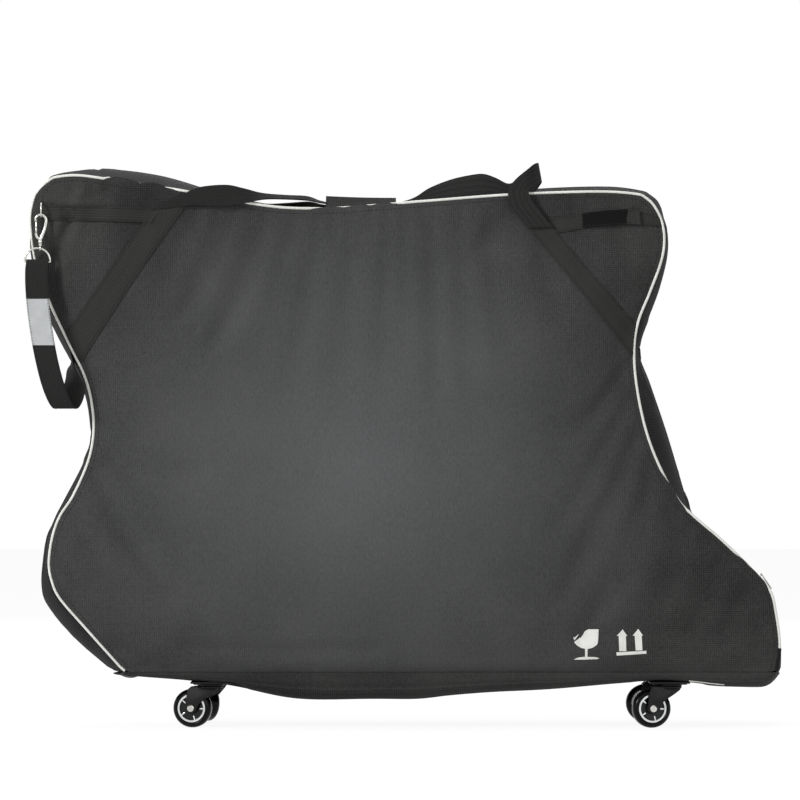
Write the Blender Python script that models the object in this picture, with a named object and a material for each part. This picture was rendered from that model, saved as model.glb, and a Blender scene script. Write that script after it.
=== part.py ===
"""Bike travel bag: padded sides that unzip and fold down from a base tray on four swivel casters.

Metres, +Z up. X runs along the bag from the handlebar end (-X) to the rear end (+X), and Y across it,
with the near side at -Y. The origin is on the ground under the middle of the bag.
"""
import math

import bmesh
import bpy
from mathutils import Matrix, Vector

# Clearances
SEAT_GAP = 0.0003
STRAP_GAP = 0.0011

# Side panels and the gusset round them
HINGE_HEIGHT = 0.090
SIDE_LENGTH = 1.186
SIDE_HEIGHT = 0.787
BASE_HALF_DEPTH = 0.130
HANDLEBAR_EXTRA_DEPTH = 0.078
HANDLEBAR_CENTRE_SHARE = (-0.45531, 1.00343)
HANDLEBAR_SPREAD_SHARE = (0.32040, 0.43202)
PANEL_BULGE = 0.034
PANEL_THICKNESS = 0.004
GUSSET_THICKNESS = 0.003
PIPING_RADIUS = 0.003
ZIP_HALF_WIDTH = 0.0052
ZIP_THICKNESS = 0.004
ARC_STATIONS = 50
CORNER_TURN = 0.22
FOOT_STATIONS = 10
OUTER_RINGS = (1.0, 0.94, 0.82, 0.62, 0.36)
INNER_RINGS = (1.0, 0.80, 0.50)
GUSSET_RINGS = (0.0, 0.22, 0.55, 1.0)
PANEL_CENTRE_SHARE = (-0.03626, 0.42910)
TOP_EDGE_SHARE = 0.9

# The seam of a side panel from its front lower corner over the top to its rear lower corner,
# as shares of SIDE_LENGTH from the middle and of SIDE_HEIGHT above the hinge.
SEAM_OUTLINE = [
    (-0.379, 0.000), (-0.415, 0.061), (-0.446, 0.113), (-0.471, 0.161), (-0.481, 0.222), (-0.471, 0.300),
    (-0.449, 0.355), (-0.428, 0.426), (-0.420, 0.499), (-0.428, 0.582), (-0.450, 0.657), (-0.476, 0.741),
    (-0.492, 0.827), (-0.498, 0.895), (-0.494, 0.950), (-0.476, 0.991), (-0.440, 1.000), (-0.393, 0.991),
    (-0.321, 0.976), (-0.190, 0.942), (-0.109, 0.938), (-0.028, 0.947), (0.137, 0.967), (0.226, 0.972),
    (0.287, 0.972), (0.321, 0.961), (0.341, 0.921), (0.346, 0.863), (0.334, 0.794), (0.310, 0.723),
    (0.304, 0.648), (0.312, 0.551), (0.331, 0.446), (0.367, 0.344), (0.409, 0.287), (0.454, 0.222),
    (0.486, 0.170), (0.496, 0.119), (0.501, 0.055), (0.496, 0.000),
]
# The crown of the gusset, where the zip runs, in the same shares.
CROWN_OUTLINE = [
    (-0.401, 0.000), (-0.430, 0.033), (-0.455, 0.067), (-0.478, 0.098), (-0.491, 0.133), (-0.499, 0.164),
    (-0.493, 0.269), (-0.480, 0.319), (-0.463, 0.368), (-0.441, 0.441), (-0.434, 0.502), (-0.441, 0.574),
    (-0.463, 0.653), (-0.491, 0.728), (-0.513, 0.821), (-0.518, 0.903), (-0.511, 0.959), (-0.496, 0.992),
    (-0.480, 1.016), (-0.447, 1.025), (-0.397, 1.029), (-0.348, 1.019), (-0.296, 1.000), (-0.214, 0.963),
    (-0.110, 0.947), (-0.004, 0.958), (0.094, 0.977), (0.193, 0.990), (0.275, 0.995), (0.311, 0.986),
    (0.343, 0.959), (0.357, 0.900), (0.355, 0.834), (0.338, 0.751), (0.317, 0.668), (0.328, 0.607),
    (0.347, 0.525), (0.374, 0.402), (0.404, 0.299), (0.439, 0.257), (0.472, 0.203), (0.497, 0.154),
    (0.506, 0.100), (0.512, 0.031), (0.508, 0.000),
]

# Base tray
TRAY_WALL = 0.006
TRAY_FLOOR = 0.0855
TRAY_STATIONS = 22
TRAY_SECTION = 12
TRAY_SQUARENESS = 0.42
TRAY_BOW_REACH = 0.12
# Underside of the sagging belly: share of SIDE_LENGTH from the middle, and height above the ground.
BELLY_PROFILE = [
    (-0.379, 0.0862), (-0.346, 0.0822), (-0.292, 0.0760), (-0.230, 0.0640), (-0.143, 0.0480),
    (-0.004, 0.0475), (0.061, 0.0550), (0.142, 0.0610), (0.238, 0.0680), (0.327, 0.0740),
    (0.380, 0.0720), (0.430, 0.0680), (0.480, 0.0680), (0.496, 0.0760),
]
SKID_LENGTH = 0.022
SKID_WIDTH = 0.034
SKID_HEIGHT = 0.0055
SKID_SIDE = 0.692 * BASE_HALF_DEPTH
SKID_INSET = 0.004

# Casters
CASTER_FRONT_X = -0.26433 * SIDE_LENGTH
CASTER_REAR_X = 0.35413 * SIDE_LENGTH
CASTER_SIDE = BASE_HALF_DEPTH - 0.035
WHEEL_RADIUS = 0.031
WHEEL_WIDTH = 0.021
TREAD_WIDTH = 0.009
TYRE_SHOULDER = 0.0024
TYRE_SHOULDER_DROP = 0.0018
TYRE_WALL_DROP = 0.006
RIM_INSET = 0.001
WHEEL_SEGMENTS = 25
RIM_SHARE = 0.72
RIM_WALL = 0.0022
HUB_RADIUS = 0.0085
BOLT_RADIUS = 0.0027
BOLT_HEAD_RADIUS = 0.0056
BOLT_HEAD_HEIGHT = 0.0024
BOLT_HEAD_ROUNDING = 0.001
SPOKES = 5
FIRST_SPOKE = 3
CASTER_TRAIL = 0.030
CASTER_HEIGHT = 0.0739
FORK_FRONT = 0.016
FORK_BACK = 0.006
FORK_SHOULDER = 0.012
FORK_WAIST = 0.005
PLATE_LENGTH = 0.064
PLATE_WIDTH = 0.054
PLATE_THICKNESS = 0.003
RACE_RADIUS = 0.021
RACE_HEIGHT = 0.0042
FORK_BRIDGE = 0.003
FORK_LEG = 0.002
FORK_CLEARANCE = 0.0012
FORK_SLOT_REACH = 0.080
RACE_INSET = 0.001
CASTER_HEADINGS = {"front_near": -12.0, "front_far": -57.0, "rear_near": 12.0, "rear_far": 3.0}

# Inner frame
RAIL_SIDE = BASE_HALF_DEPTH - 0.055
RAIL_SIZE = 0.020
RAIL_WALL = 0.002
RAIL_FRONT_X = -0.35835 * SIDE_LENGTH
RAIL_REAR_X = 0.47218 * SIDE_LENGTH
CROSS_PLATE_LENGTH = 0.080
CROSS_PLATE_CLEARANCE = 0.006
CROSS_PLATE_WIDTH = 2 * (BASE_HALF_DEPTH - TRAY_WALL - CROSS_PLATE_CLEARANCE)
CROSS_PLATE_THICKNESS = 0.003
STAND_FOOT_LENGTH = 0.056
STAND_PLATE = 0.004
STAND_LIP = 0.010
POST_FOOT = (0.044, 0.060)
POST_HEAD = (0.020, 0.034)
AXLE_TUBE_RADIUS = 0.011
SKEWER_RADIUS = 0.0025
DROPOUT_ROOM = 0.008
NUT_RADIUS = 0.009
NUT_LENGTH = 0.009
LEVER_LENGTH = 0.040
LEVER_THICKNESS = 0.004
# The lever's arm: share of its length, half width, and how far it leans outwards.
LEVER_PROFILE = [(0.0, 0.0060, 0.0), (0.30, 0.0055, 0.0), (0.65, 0.0050, 0.0015), (1.0, 0.0042, 0.0)]
CAM_RADIUS = 0.0055
CAM_LENGTH = 0.014
CAM_SEAT = 0.001
FORK_STAND_FOOT_X = RAIL_FRONT_X + 0.033
FORK_AXLE_X = RAIL_FRONT_X
FORK_AXLE_HEIGHT = 0.220
FORK_WIDTH = 0.100
REAR_STAND_FOOT_X = RAIL_REAR_X - 0.040
REAR_AXLE_X = RAIL_REAR_X - 0.035
REAR_AXLE_HEIGHT = 0.200
REAR_WIDTH = 0.130

# Webbing
WIDE_WEB = 0.0390
PULL_WEB = 0.0355
NARROW_WEB = 0.0240
WEB_THICKNESS = 0.0020
STRAP_REACH = 0.988
GRIP_LENGTH = 0.112
GRIP_X = -0.05902 * SIDE_LENGTH
GRIP_SIDE = 0.028
GRIP_HEIGHT = 0.018
GRIP_THICKNESS = 0.010
GRIP_TAPER = 0.030
# Routes of the flat straps, as shares of SIDE_LENGTH from the middle and of SIDE_HEIGHT above the hinge.
FRONT_STRAP = [(-0.42833, 0.65781), (-0.38364, 0.77471), (-0.33727, 0.89543), (-0.31366, 0.95515)]
REAR_STRAP = [(0.13997, 0.94244), (0.18128, 0.85858), (0.24452, 0.74930), (0.29174, 0.66036)]
FRONT_CROSS_STRAP = [(-0.42159, 0.92846), (-0.35835, 0.92719)]
REAR_CROSS_STRAP = [(0.19562, 0.90940), (0.24452, 0.91194), (0.29089, 0.91830), (0.32715, 0.91703)]
# The handles' sewn ends, as shares of SIDE_LENGTH from the middle.
HANDLE_ENDS = (-0.31619, 0.13912)
HANDLE_END_LIFT = 0.0052
HANDLE_END_WIDTH = 0.0240
# Their turns beside those ends: (along, inwards, up) from the end, and the direction across the web.
HANDLE_FRONT_TURN = [
    ((0.012, 0.016, 0.010), (1.0, 0.2, 0.1)), ((0.032, 0.034, 0.022), (0.6, -0.6, 0.4)),
]
HANDLE_REAR_TURN = [
    ((-0.030, 0.030, 0.020), (0.5, -0.5, 0.8)), ((-0.010, 0.014, 0.012), (1.0, 0.2, 0.2)),
]
# Where they lie on the bag: distance from an end or from the grip, distance from the middle plane,
# tilt in degrees, width, thickness and lift.
HANDLE_FRONT_LAY = [
    (0.075, 0.125, 35, WIDE_WEB, WEB_THICKNESS, 0.004), (0.150, 0.085, 50, WIDE_WEB, WEB_THICKNESS, 0.002),
]
HANDLE_FRONT_TAPER = (-GRIP_TAPER, 0.045, 70, 0.026, 0.003, 0.003)
HANDLE_GRIP_LAY = (GRIP_SIDE, 90, GRIP_HEIGHT, GRIP_THICKNESS, 0.0)
HANDLE_REAR_TAPER = (0.020, 0.040, 85, 0.020, 0.003, 0.003)
HANDLE_REAR_LAY = [
    (-0.130, 0.050, 80, 0.026, WEB_THICKNESS, 0.006), (-0.070, 0.080, 75, 0.8 * WIDE_WEB, WEB_THICKNESS, 0.006),
]

# Zip slider and its pull
SLIDER_LENGTH = 0.018
SLIDER_WIDTH = 0.011
SLIDER_HEIGHT = 0.003
BAIL_LENGTH = 0.008
BAIL_HEIGHT = 0.003
BAIL_HALF_WIDTH = 0.0008
SLIDER_CREST_INSET = 0.002
PULL_LENGTH = 0.030
PULL_WIDTH = 0.007
PULL_THICKNESS = 0.002

# Metalwork at the front edge
RING_SHARE = (-0.48651, 0.92973)
RING_WIRE = 0.0013
RING_HEIGHT = 0.0255
RING_REACH = 0.015
HOOK_WIRE = 0.0020
D_RING_WIRE = 0.0016
D_RING_WIDTH = 0.0400
D_RING_HEIGHT = 0.0215
EYE_RADIUS = 0.0036
EYE_WIRE = 0.0011
EYE_DROP = 0.0085
HOOK_SIDE = 0.0015
HOOK_OUT = 0.0065
HOOK_PLAY = 0.0018
HOOK_LENGTH = 0.044
HOOK_POST_RADIUS = 0.0030
HOOK_POST_LENGTH = 0.0075
D_RING_SIDE = 0.0045
LOOP_TAIL = 0.014
GATE_RADIUS = 0.0016
HEEL_RADIUS = 0.0018
EYE_POST_RADIUS = 0.0026
# The hook's wire, its heel and its gate as (across, up) from the top of the bow.
HOOK_BOW = [
    (-0.0068, -0.0105), (-0.0078, -0.0060), (-0.0045, -0.0012), (0.0010, 0.0), (0.0060, -0.0020),
    (0.0090, -0.0070), (0.0078, -0.0140), (0.0050, -0.0220), (0.0010, -0.0300), (0.0, -0.0370),
]
HOOK_HEEL = [(-0.0066, -0.0300), (-0.0045, -0.0325), (0.0, -0.0345)]
HOOK_GATE = [(-0.0066, -0.0262), (-0.0068, -0.0114)]
# The pull strap's middle line from the D-ring's bar, and the direction across its web.
PULL_STRAP_ROUTE = [
    ((-0.0015, 0.0, -0.016), (1, 0, 0)), ((-0.001, 0.002, -0.045), (1, 0, 0)), ((0.0025, 0.006, -0.085), (1, 0, 0)),
    ((0.0105, 0.010, -0.138), (1, 0, 0)), ((0.021, 0.017, -0.185), (1, 0, 0.05)),
    ((0.032, 0.026, -0.217), (1, 0, 0.05)), ((0.0415, 0.036, -0.2305), (1, -0.03, 0)),
    ((0.050, 0.043, -0.222), (1, -0.06, 0)), ((0.055, 0.048, -0.200), (1, -0.10, 0)),
    ((0.0530, 0.056, -0.184), (0.70, -0.70, 0)), ((0.0495, 0.066, -0.168), (0.40, -0.92, 0)),
    ((0.0495, 0.0799, -0.148), (-0.106, -0.857, 0.503)),
]


def remove_everything():
    """Clear the startup scene."""
    for item in list(bpy.data.objects):
        bpy.data.objects.remove(item, do_unlink=True)


def material(name, colour, roughness, metallic=0.0):
    """A Principled material in a plain colour."""
    result = bpy.data.materials.get(name)
    if result is None:
        result = bpy.data.materials.new(name)
        result.use_nodes = True
        shader = result.node_tree.nodes["Principled BSDF"]
        shader.inputs["Base Color"].default_value = (*colour, 1.0)
        shader.inputs["Roughness"].default_value = roughness
        shader.inputs["Metallic"].default_value = metallic
    return result


FINISHES = {
    "bag_fabric": ((0.045, 0.045, 0.047), 0.85, 0.0),
    "webbing": ((0.027, 0.026, 0.023), 0.80, 0.0),
    "piping": ((0.80, 0.80, 0.77), 0.60, 0.0),
    "tray_fabric": ((0.030, 0.030, 0.031), 0.90, 0.0),
    "zip": ((0.015, 0.015, 0.015), 0.45, 0.0),
    "bright_metal": ((0.75, 0.75, 0.74), 0.18, 1.0),
    "frame_alloy": ((0.06, 0.06, 0.06), 0.45, 0.0),
    "caster_steel": ((0.02, 0.02, 0.02), 0.35, 0.0),
    "tyre_rubber": ((0.012, 0.012, 0.013), 0.30, 0.0),
    "rim_plastic": ((0.55, 0.55, 0.55), 0.30, 0.6),
    "foot_plastic": ((0.02, 0.02, 0.02), 0.50, 0.0),
}


class Body:
    """A group of pieces that move together about one pivot, held by an empty on the joint's axis."""

    def __init__(self, name, pivot=(0.0, 0.0, 0.0)):
        self.pivot = Vector(pivot)
        self.empty = bpy.data.objects.new(name + "_pivot", None)
        self.empty.location = self.pivot
        bpy.context.collection.objects.link(self.empty)

    def add(self, piece, finish):
        """Hang a piece, modelled in place, on the pivot and give it its finish."""
        piece.data.transform(Matrix.Translation(-self.pivot))
        piece.parent = self.empty
        piece.data.materials.append(material(finish, *FINISHES[finish]))
        return piece


def new_object(name, mesh_builder):
    """Make an object from a bmesh, with its faces turned outwards."""
    bmesh.ops.recalc_face_normals(mesh_builder, faces=mesh_builder.faces[:])
    mesh = bpy.data.meshes.new(name)
    mesh_builder.to_mesh(mesh)
    mesh_builder.free()
    result = bpy.data.objects.new(name, mesh)
    bpy.context.collection.objects.link(result)
    return result


def shade(piece, angle=40.0):
    """Smooth shading with sharp edges above the given angle."""
    piece.data.shade_smooth()
    piece.data.set_sharp_from_angle(angle=math.radians(angle))
    return piece


def loft(name, sections, closed=False):
    """A closed solid through equal loops of points, capped at both ends unless the loft closes."""
    work = bmesh.new()
    rings = [[work.verts.new(point) for point in section] for section in sections]
    pairs = list(zip(rings, rings[1:]))
    if closed:
        pairs.append((rings[-1], rings[0]))
    count = len(rings[0])
    for low, high in pairs:
        for index in range(count):
            after = (index + 1) % count
            work.faces.new((low[index], low[after], high[after], high[index]))
    if not closed:
        work.faces.new(rings[0])
        work.faces.new(list(reversed(rings[-1])))
    return new_object(name, work)


def triangulate(piece):
    """Cut a twisted piece's four-sided faces into triangles, so that each of its faces is flat."""
    work = bmesh.new()
    work.from_mesh(piece.data)
    bmesh.ops.triangulate(work, faces=work.faces[:])
    work.to_mesh(piece.data)
    work.free()


def box(name, low, high):
    """A box between two corners."""
    corners = [(low[0], low[1]), (high[0], low[1]), (high[0], high[1]), (low[0], high[1])]
    return loft(name, [[(x, y, z) for x, y in corners] for z in (low[2], high[2])])


def turned(name, profile, centre, axis, segments=24, start=0.0):
    """Turn a closed profile of (along, radius) points about an axis through the centre."""
    axis = Vector(axis).normalized()
    across = axis.orthogonal().normalized() if abs(axis.z) > 0.9 else Vector((0, 0, -1))
    beside = axis.cross(across)
    sections = []
    for step in range(segments):
        angle = start + 2 * math.pi * step / segments
        out = math.cos(angle) * across + math.sin(angle) * beside
        sections.append([Vector(centre) + along * axis + radius * out for along, radius in profile])
    return loft(name, sections, closed=True)


def rod(name, first, last, radius, segments=16):
    """A round rod between two points."""
    first, last = Vector(first), Vector(last)
    axis = (last - first).normalized()
    across = axis.orthogonal().normalized()
    beside = axis.cross(across)
    angles = [2 * math.pi * step / segments for step in range(segments)]
    ring = [radius * (math.cos(a) * across + math.sin(a) * beside) for a in angles]
    return loft(name, [[end + point for point in ring] for end in (first, last)])


def stacked(name, steps, centre, axis, segments=16):
    """Circles of (along, radius) stacked along an axis into one turned solid with flat ends."""
    axis = Vector(axis).normalized()
    across = axis.orthogonal().normalized()
    beside = axis.cross(across)
    sections = []
    for along, radius in steps:
        turns = [2 * math.pi * step / segments for step in range(segments)]
        sections.append([Vector(centre) + along * axis + radius * (math.cos(t) * across + math.sin(t) * beside)
                         for t in turns])
    return loft(name, sections)


def tube(name, route, radius, sides=8, closed=False):
    """A wire of one radius, or a list of radii, along a route, with flat ends."""
    route = [Vector(point) for point in route]
    radii = radius if isinstance(radius, list) else [radius] * len(route)
    sections = []
    across = None
    for index, point in enumerate(route):
        before = route[index - 1] if index or closed else point
        after = route[(index + 1) % len(route)] if index + 1 < len(route) or closed else point
        along = (after - before).normalized()
        if across is None:
            across = along.orthogonal().normalized()
        across = (across - across.dot(along) * along).normalized()
        beside = along.cross(across)
        turns = [2 * math.pi * step / sides for step in range(sides)]
        sections.append([point + radii[index] * (math.cos(t) * across + math.sin(t) * beside) for t in turns])
    return loft(name, sections, closed=closed)


def plate(name, outline, low, high, frame=Matrix.Identity(4)):
    """An outline in local X and Z, extruded along local Y between low and high."""
    return loft(name, [[frame @ Vector((x, y, z)) for x, z in outline] for y in (low, high)])


def combine(piece, tool, operation):
    """Join a second shape to a piece, cut it away, or keep what both share."""
    tool.hide_render = True
    tool.display_type = "WIRE"
    change = piece.modifiers.new(operation.lower(), "BOOLEAN")
    change.operation = operation
    change.object = tool
    return piece


def smooth_curve(points, count, turn_length=0.0):
    """Catmull-Rom curve through an open list of points, read at even steps along it.

    A turn length, in metres a radian, counts turning as length, which draws the steps into the corners.
    """
    points = [Vector(point) for point in points]
    ends = [2 * points[0] - points[1]] + points + [2 * points[-1] - points[-2]]
    dense = []
    steps = 12
    for p0, p1, p2, p3 in zip(ends, ends[1:], ends[2:], ends[3:]):
        for step in range(steps):
            t = step / steps
            dense.append(0.5 * (2 * p1 + (p2 - p0) * t + (2 * p0 - 5 * p1 + 4 * p2 - p3) * t * t
                                + (3 * p1 - p0 - 3 * p2 + p3) * t ** 3))
    dense.append(points[-1])
    lengths = [0.0]
    heading = dense[1] - dense[0]
    for first, second in zip(dense, dense[1:]):
        turned_by = heading.angle(second - first) if turn_length else 0.0
        heading = second - first
        lengths.append(lengths[-1] + heading.length + turn_length * turned_by)
    result = []
    at = 0
    for index in range(count + 1):
        target = lengths[-1] * index / count
        while at < len(lengths) - 2 and lengths[at + 1] < target:
            at += 1
        span = lengths[at + 1] - lengths[at]
        result.append(dense[at].lerp(dense[at + 1], (target - lengths[at]) / span))
    return result


def side_point(share):
    """Place a point given in shares of the side's length and height, as (x, z)."""
    return Vector((share[0] * SIDE_LENGTH, HINGE_HEIGHT + SEAT_GAP + share[1] * SIDE_HEIGHT))


def seam_depth(x, z):
    """Half the bag's depth at the panel seam: even along the base, deeper at the handlebar."""
    centre = side_point(HANDLEBAR_CENTRE_SHARE)
    along = (x - centre.x) / (HANDLEBAR_SPREAD_SHARE[0] * SIDE_LENGTH)
    up = (z - centre.y) / (HANDLEBAR_SPREAD_SHARE[1] * SIDE_HEIGHT)
    return BASE_HALF_DEPTH + HANDLEBAR_EXTRA_DEPTH * math.exp(-along ** 2 - up ** 2)


PANEL_CENTRE = side_point(PANEL_CENTRE_SHARE)


def inward(points, distance):
    """Move an open outline square to itself, towards the middle of the panel."""
    centre = PANEL_CENTRE
    result = []
    for index, point in enumerate(points):
        before = points[max(index - 1, 0)]
        after = points[min(index + 1, len(points) - 1)]
        along = (after - before).normalized()
        normal = Vector((-along.y, along.x))
        if normal.dot(centre - point) < 0:
            normal.negate()
        result.append(point + distance * normal)
    return result


SEAM = smooth_curve([side_point(share) for share in SEAM_OUTLINE], ARC_STATIONS, CORNER_TURN)
CROWN_DENSE = smooth_curve([side_point(share) for share in CROWN_OUTLINE], 600)


def crown_across(point):
    """The crown point on the line from the panel's centre through a seam point."""
    centre = PANEL_CENTRE
    line = (point - centre).normalized()

    def off_line(candidate):
        offset = candidate - centre
        return abs(line.x * offset.y - line.y * offset.x) if line.dot(offset) > 0 else 9.0

    return min(CROWN_DENSE, key=off_line)


CROWN = [crown_across(point) for point in SEAM]
CROWN[0] = side_point(CROWN_OUTLINE[0])
CROWN[-1] = side_point(CROWN_OUTLINE[-1])


def panel_edge():
    """Closed edge of a panel: inside the piping round the arc, then straight along the hinge."""
    arc = inward(SEAM, PIPING_RADIUS + SEAT_GAP)
    floor = HINGE_HEIGHT + SEAT_GAP
    for end, beside in ((0, 1), (-1, -2)):
        slope = arc[end] - arc[beside]
        arc[end] = arc[end] + slope * (floor - arc[end].y) / slope.y
    foot = [arc[-1].lerp(arc[0], step / FOOT_STATIONS) for step in range(1, FOOT_STATIONS)]
    return arc + foot


EDGE = panel_edge()


def bulge(share):
    """How far a panel stands out of its seam at a share of the way from its centre to its edge."""
    return PANEL_BULGE * (1 - min(share, 1.0) ** 2.4)


def edge_share(x, z):
    """How far a point lies from the panel's centre, as a share of the way to the edge."""
    centre = PANEL_CENTRE
    offset = Vector((x, z)) - centre
    for first, second in zip(EDGE, EDGE[1:] + EDGE[:1]):
        a, b = first - centre, second - centre
        turn = a.x * b.y - a.y * b.x
        u = (offset.x * b.y - offset.y * b.x) / turn
        v = (a.x * offset.y - a.y * offset.x) / turn
        if u >= -1e-9 and v >= -1e-9:
            return u + v
    return 0.0


def panel_depth(x, z):
    """Distance of the panel's outer face from the bag's middle plane."""
    return seam_depth(x, z) + bulge(edge_share(x, z))


def within_panel(point):
    """Draw a point that lies past the panel's edge back inside it."""
    centre = PANEL_CENTRE
    share = edge_share(*point)
    return point if share < STRAP_REACH else centre + (point - centre) * STRAP_REACH / share


def make_panel(name, side):
    """A padded side panel: rings that shrink to the middle, on an outer and an inner face."""
    centre = PANEL_CENTRE
    work = bmesh.new()

    def ring(share, inner):
        lift = -PANEL_THICKNESS if inner else 0.0
        verts = []
        for point in EDGE:
            x, z = centre + share * (point - centre)
            verts.append(work.verts.new((x, side * (seam_depth(x, z) + bulge(share) + lift), z)))
        return verts

    faces = []
    for inner in (False, True):
        rings = [ring(share, inner) for share in (INNER_RINGS if inner else OUTER_RINGS)]
        for outer_ring, inner_ring in zip(rings, rings[1:]):
            faces.append((outer_ring, inner_ring))
        lift = -PANEL_THICKNESS if inner else 0.0
        depth = seam_depth(*centre) + bulge(0.0) + lift
        pole = work.verts.new((centre.x, side * depth, centre.y))
        last = rings[-1]
        for index, vert in enumerate(last):
            work.faces.new((vert, last[(index + 1) % len(last)], pole))
        if inner:
            faces.append((outer_edge, rings[0]))
        else:
            outer_edge = rings[0]
    for low, high in faces:
        for index in range(len(low)):
            after = (index + 1) % len(low)
            work.faces.new((low[index], low[after], high[after], high[index]))
    return shade(new_object(name, work))


def make_gusset(name, side):
    """Half the gusset: from the piping to the zip, arched outwards."""
    centre = PANEL_CENTRE
    sections = []
    for seam, crown in zip(SEAM, CROWN):
        start = seam_depth(*seam) - PIPING_RADIUS - SEAT_GAP
        end = ZIP_HALF_WIDTH + 2 * SEAT_GAP
        towards = (centre - seam).normalized()
        outer, inner = [], []
        for share in GUSSET_RINGS:
            place = seam.lerp(crown, math.sin(share * math.pi / 2))
            depth = start + (end - start) * share
            within = place + GUSSET_THICKNESS * towards
            outer.append((place.x, side * depth, place.y))
            inner.append((within.x, side * depth, max(within.y, HINGE_HEIGHT + SEAT_GAP)))
        sections.append(outer + inner[::-1])
    return shade(loft(name, sections))


def make_piping(name, side):
    """The piping that covers the seam between a panel and the gusset."""
    places = list(SEAM)
    for end, beside in ((0, 1), (-1, -2)):
        slope = places[beside] - places[end]
        places[end] = places[end] + slope * PIPING_RADIUS / slope.y
    route = [(point.x, side * seam_depth(*point), point.y) for point in places]
    return shade(tube(name, route, PIPING_RADIUS, 6))


def make_zip_chain(name, side):
    """One side of the zip, along the crown of its gusset."""
    centre = PANEL_CENTRE
    sections = []
    for crown in CROWN:
        towards = (centre - crown).normalized()
        low = crown + ZIP_THICKNESS * towards
        low.y = max(low.y, HINGE_HEIGHT + SEAT_GAP)
        near, far = SEAT_GAP, ZIP_HALF_WIDTH
        sections.append([
            (crown.x, side * near, crown.y), (crown.x, side * far, crown.y),
            (low.x, side * far, low.y), (low.x, side * near, low.y),
        ])
    return loft(name, sections)


def make_flat_strap(name, side, route, width, count=10, level=0):
    """Webbing sewn flat on a panel along a route of (x, z) points."""
    centres = smooth_curve(route, count)
    clear = STRAP_GAP + level * (WEB_THICKNESS + STRAP_GAP)
    sections = []
    for index, point in enumerate(centres):
        before, after = centres[max(index - 1, 0)], centres[min(index + 1, count)]
        along = (after - before).normalized()
        across = Vector((-along.y, along.x)) * width / 2
        section = []
        for edge, lift in ((across, clear), (-across, clear),
                           (-across, clear + WEB_THICKNESS), (across, clear + WEB_THICKNESS)):
            x, z = within_panel(point + edge)
            section.append((x, side * (panel_depth(x, z) + lift), z))
        sections.append(section)
    return loft(name, sections)


def make_ribbon(name, stations):
    """Webbing in the air: stations of (centre, direction across, width, thickness)."""
    centres = [Vector(station[0]) for station in stations]
    sections = []
    for index, (centre, across, width, thickness) in enumerate(stations):
        along = centres[min(index + 1, len(centres) - 1)] - centres[max(index - 1, 0)]
        across = Vector(across)
        across = (across - across.project(along)).normalized() * width / 2
        normal = along.cross(across).normalized() * thickness / 2
        middle = centres[index]
        sections.append([middle + across + normal, middle - across + normal,
                         middle - across - normal, middle + across - normal])
    ribbon = loft(name, sections)
    triangulate(ribbon)
    return ribbon


BELLY = smooth_curve([(x * SIDE_LENGTH, z) for x, z in BELLY_PROFILE], 240)


def belly_height(x):
    """Height of the tray's underside along its middle, before its ends are bowed."""
    return min(BELLY, key=lambda point: abs(point.x - x)).y


def bowed(x, y):
    """Bow the tray's ends out to the crown of the gusset above them."""
    front, rear = SEAM[0].x, SEAM[-1].x
    share = 1 - (y / BASE_HALF_DEPTH) ** 2
    forward = max(0.0, 1 - (x - front) / TRAY_BOW_REACH) ** 2 * (front - CROWN[0].x)
    backward = max(0.0, 1 - (rear - x) / TRAY_BOW_REACH) ** 2 * (CROWN[-1].x - rear)
    return x + share * (backward - forward)


def make_skid_foot(name, side):
    """A low moulded foot under the front lower corner, shaped to the belly above it."""
    sections = []
    for step in range(5):
        y = side * (SKID_SIDE + SKID_WIDTH * (step / 4 - 0.5))
        top, bottom = [], []
        for along in (0.0, 0.25, 0.5, 0.75, 1.0):
            inner = SEAM[0].x + SKID_INSET + SKID_LENGTH * along
            roof = underside_height(inner, y) - 2 * SEAT_GAP
            round_end = math.sin(math.pi * (0.12 + 0.76 * along)) * math.sin(math.pi * (0.15 + 0.7 * step / 4))
            top.append((bowed(inner, y), y, roof))
            bottom.append((bowed(inner, y), y, roof - SKID_HEIGHT * round_end))
        sections.append(top + bottom[::-1])
    return loft(name, sections)


def underside_height(x, y):
    """Height of the tray's underside at a point, before its ends are bowed."""
    cosine = min(1.0, abs(y) / BASE_HALF_DEPTH) ** (1 / TRAY_SQUARENESS)
    sine = math.sqrt(max(0.0, 1 - cosine ** 2))
    return HINGE_HEIGHT - (HINGE_HEIGHT - belly_height(x)) * sine ** TRAY_SQUARENESS


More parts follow.
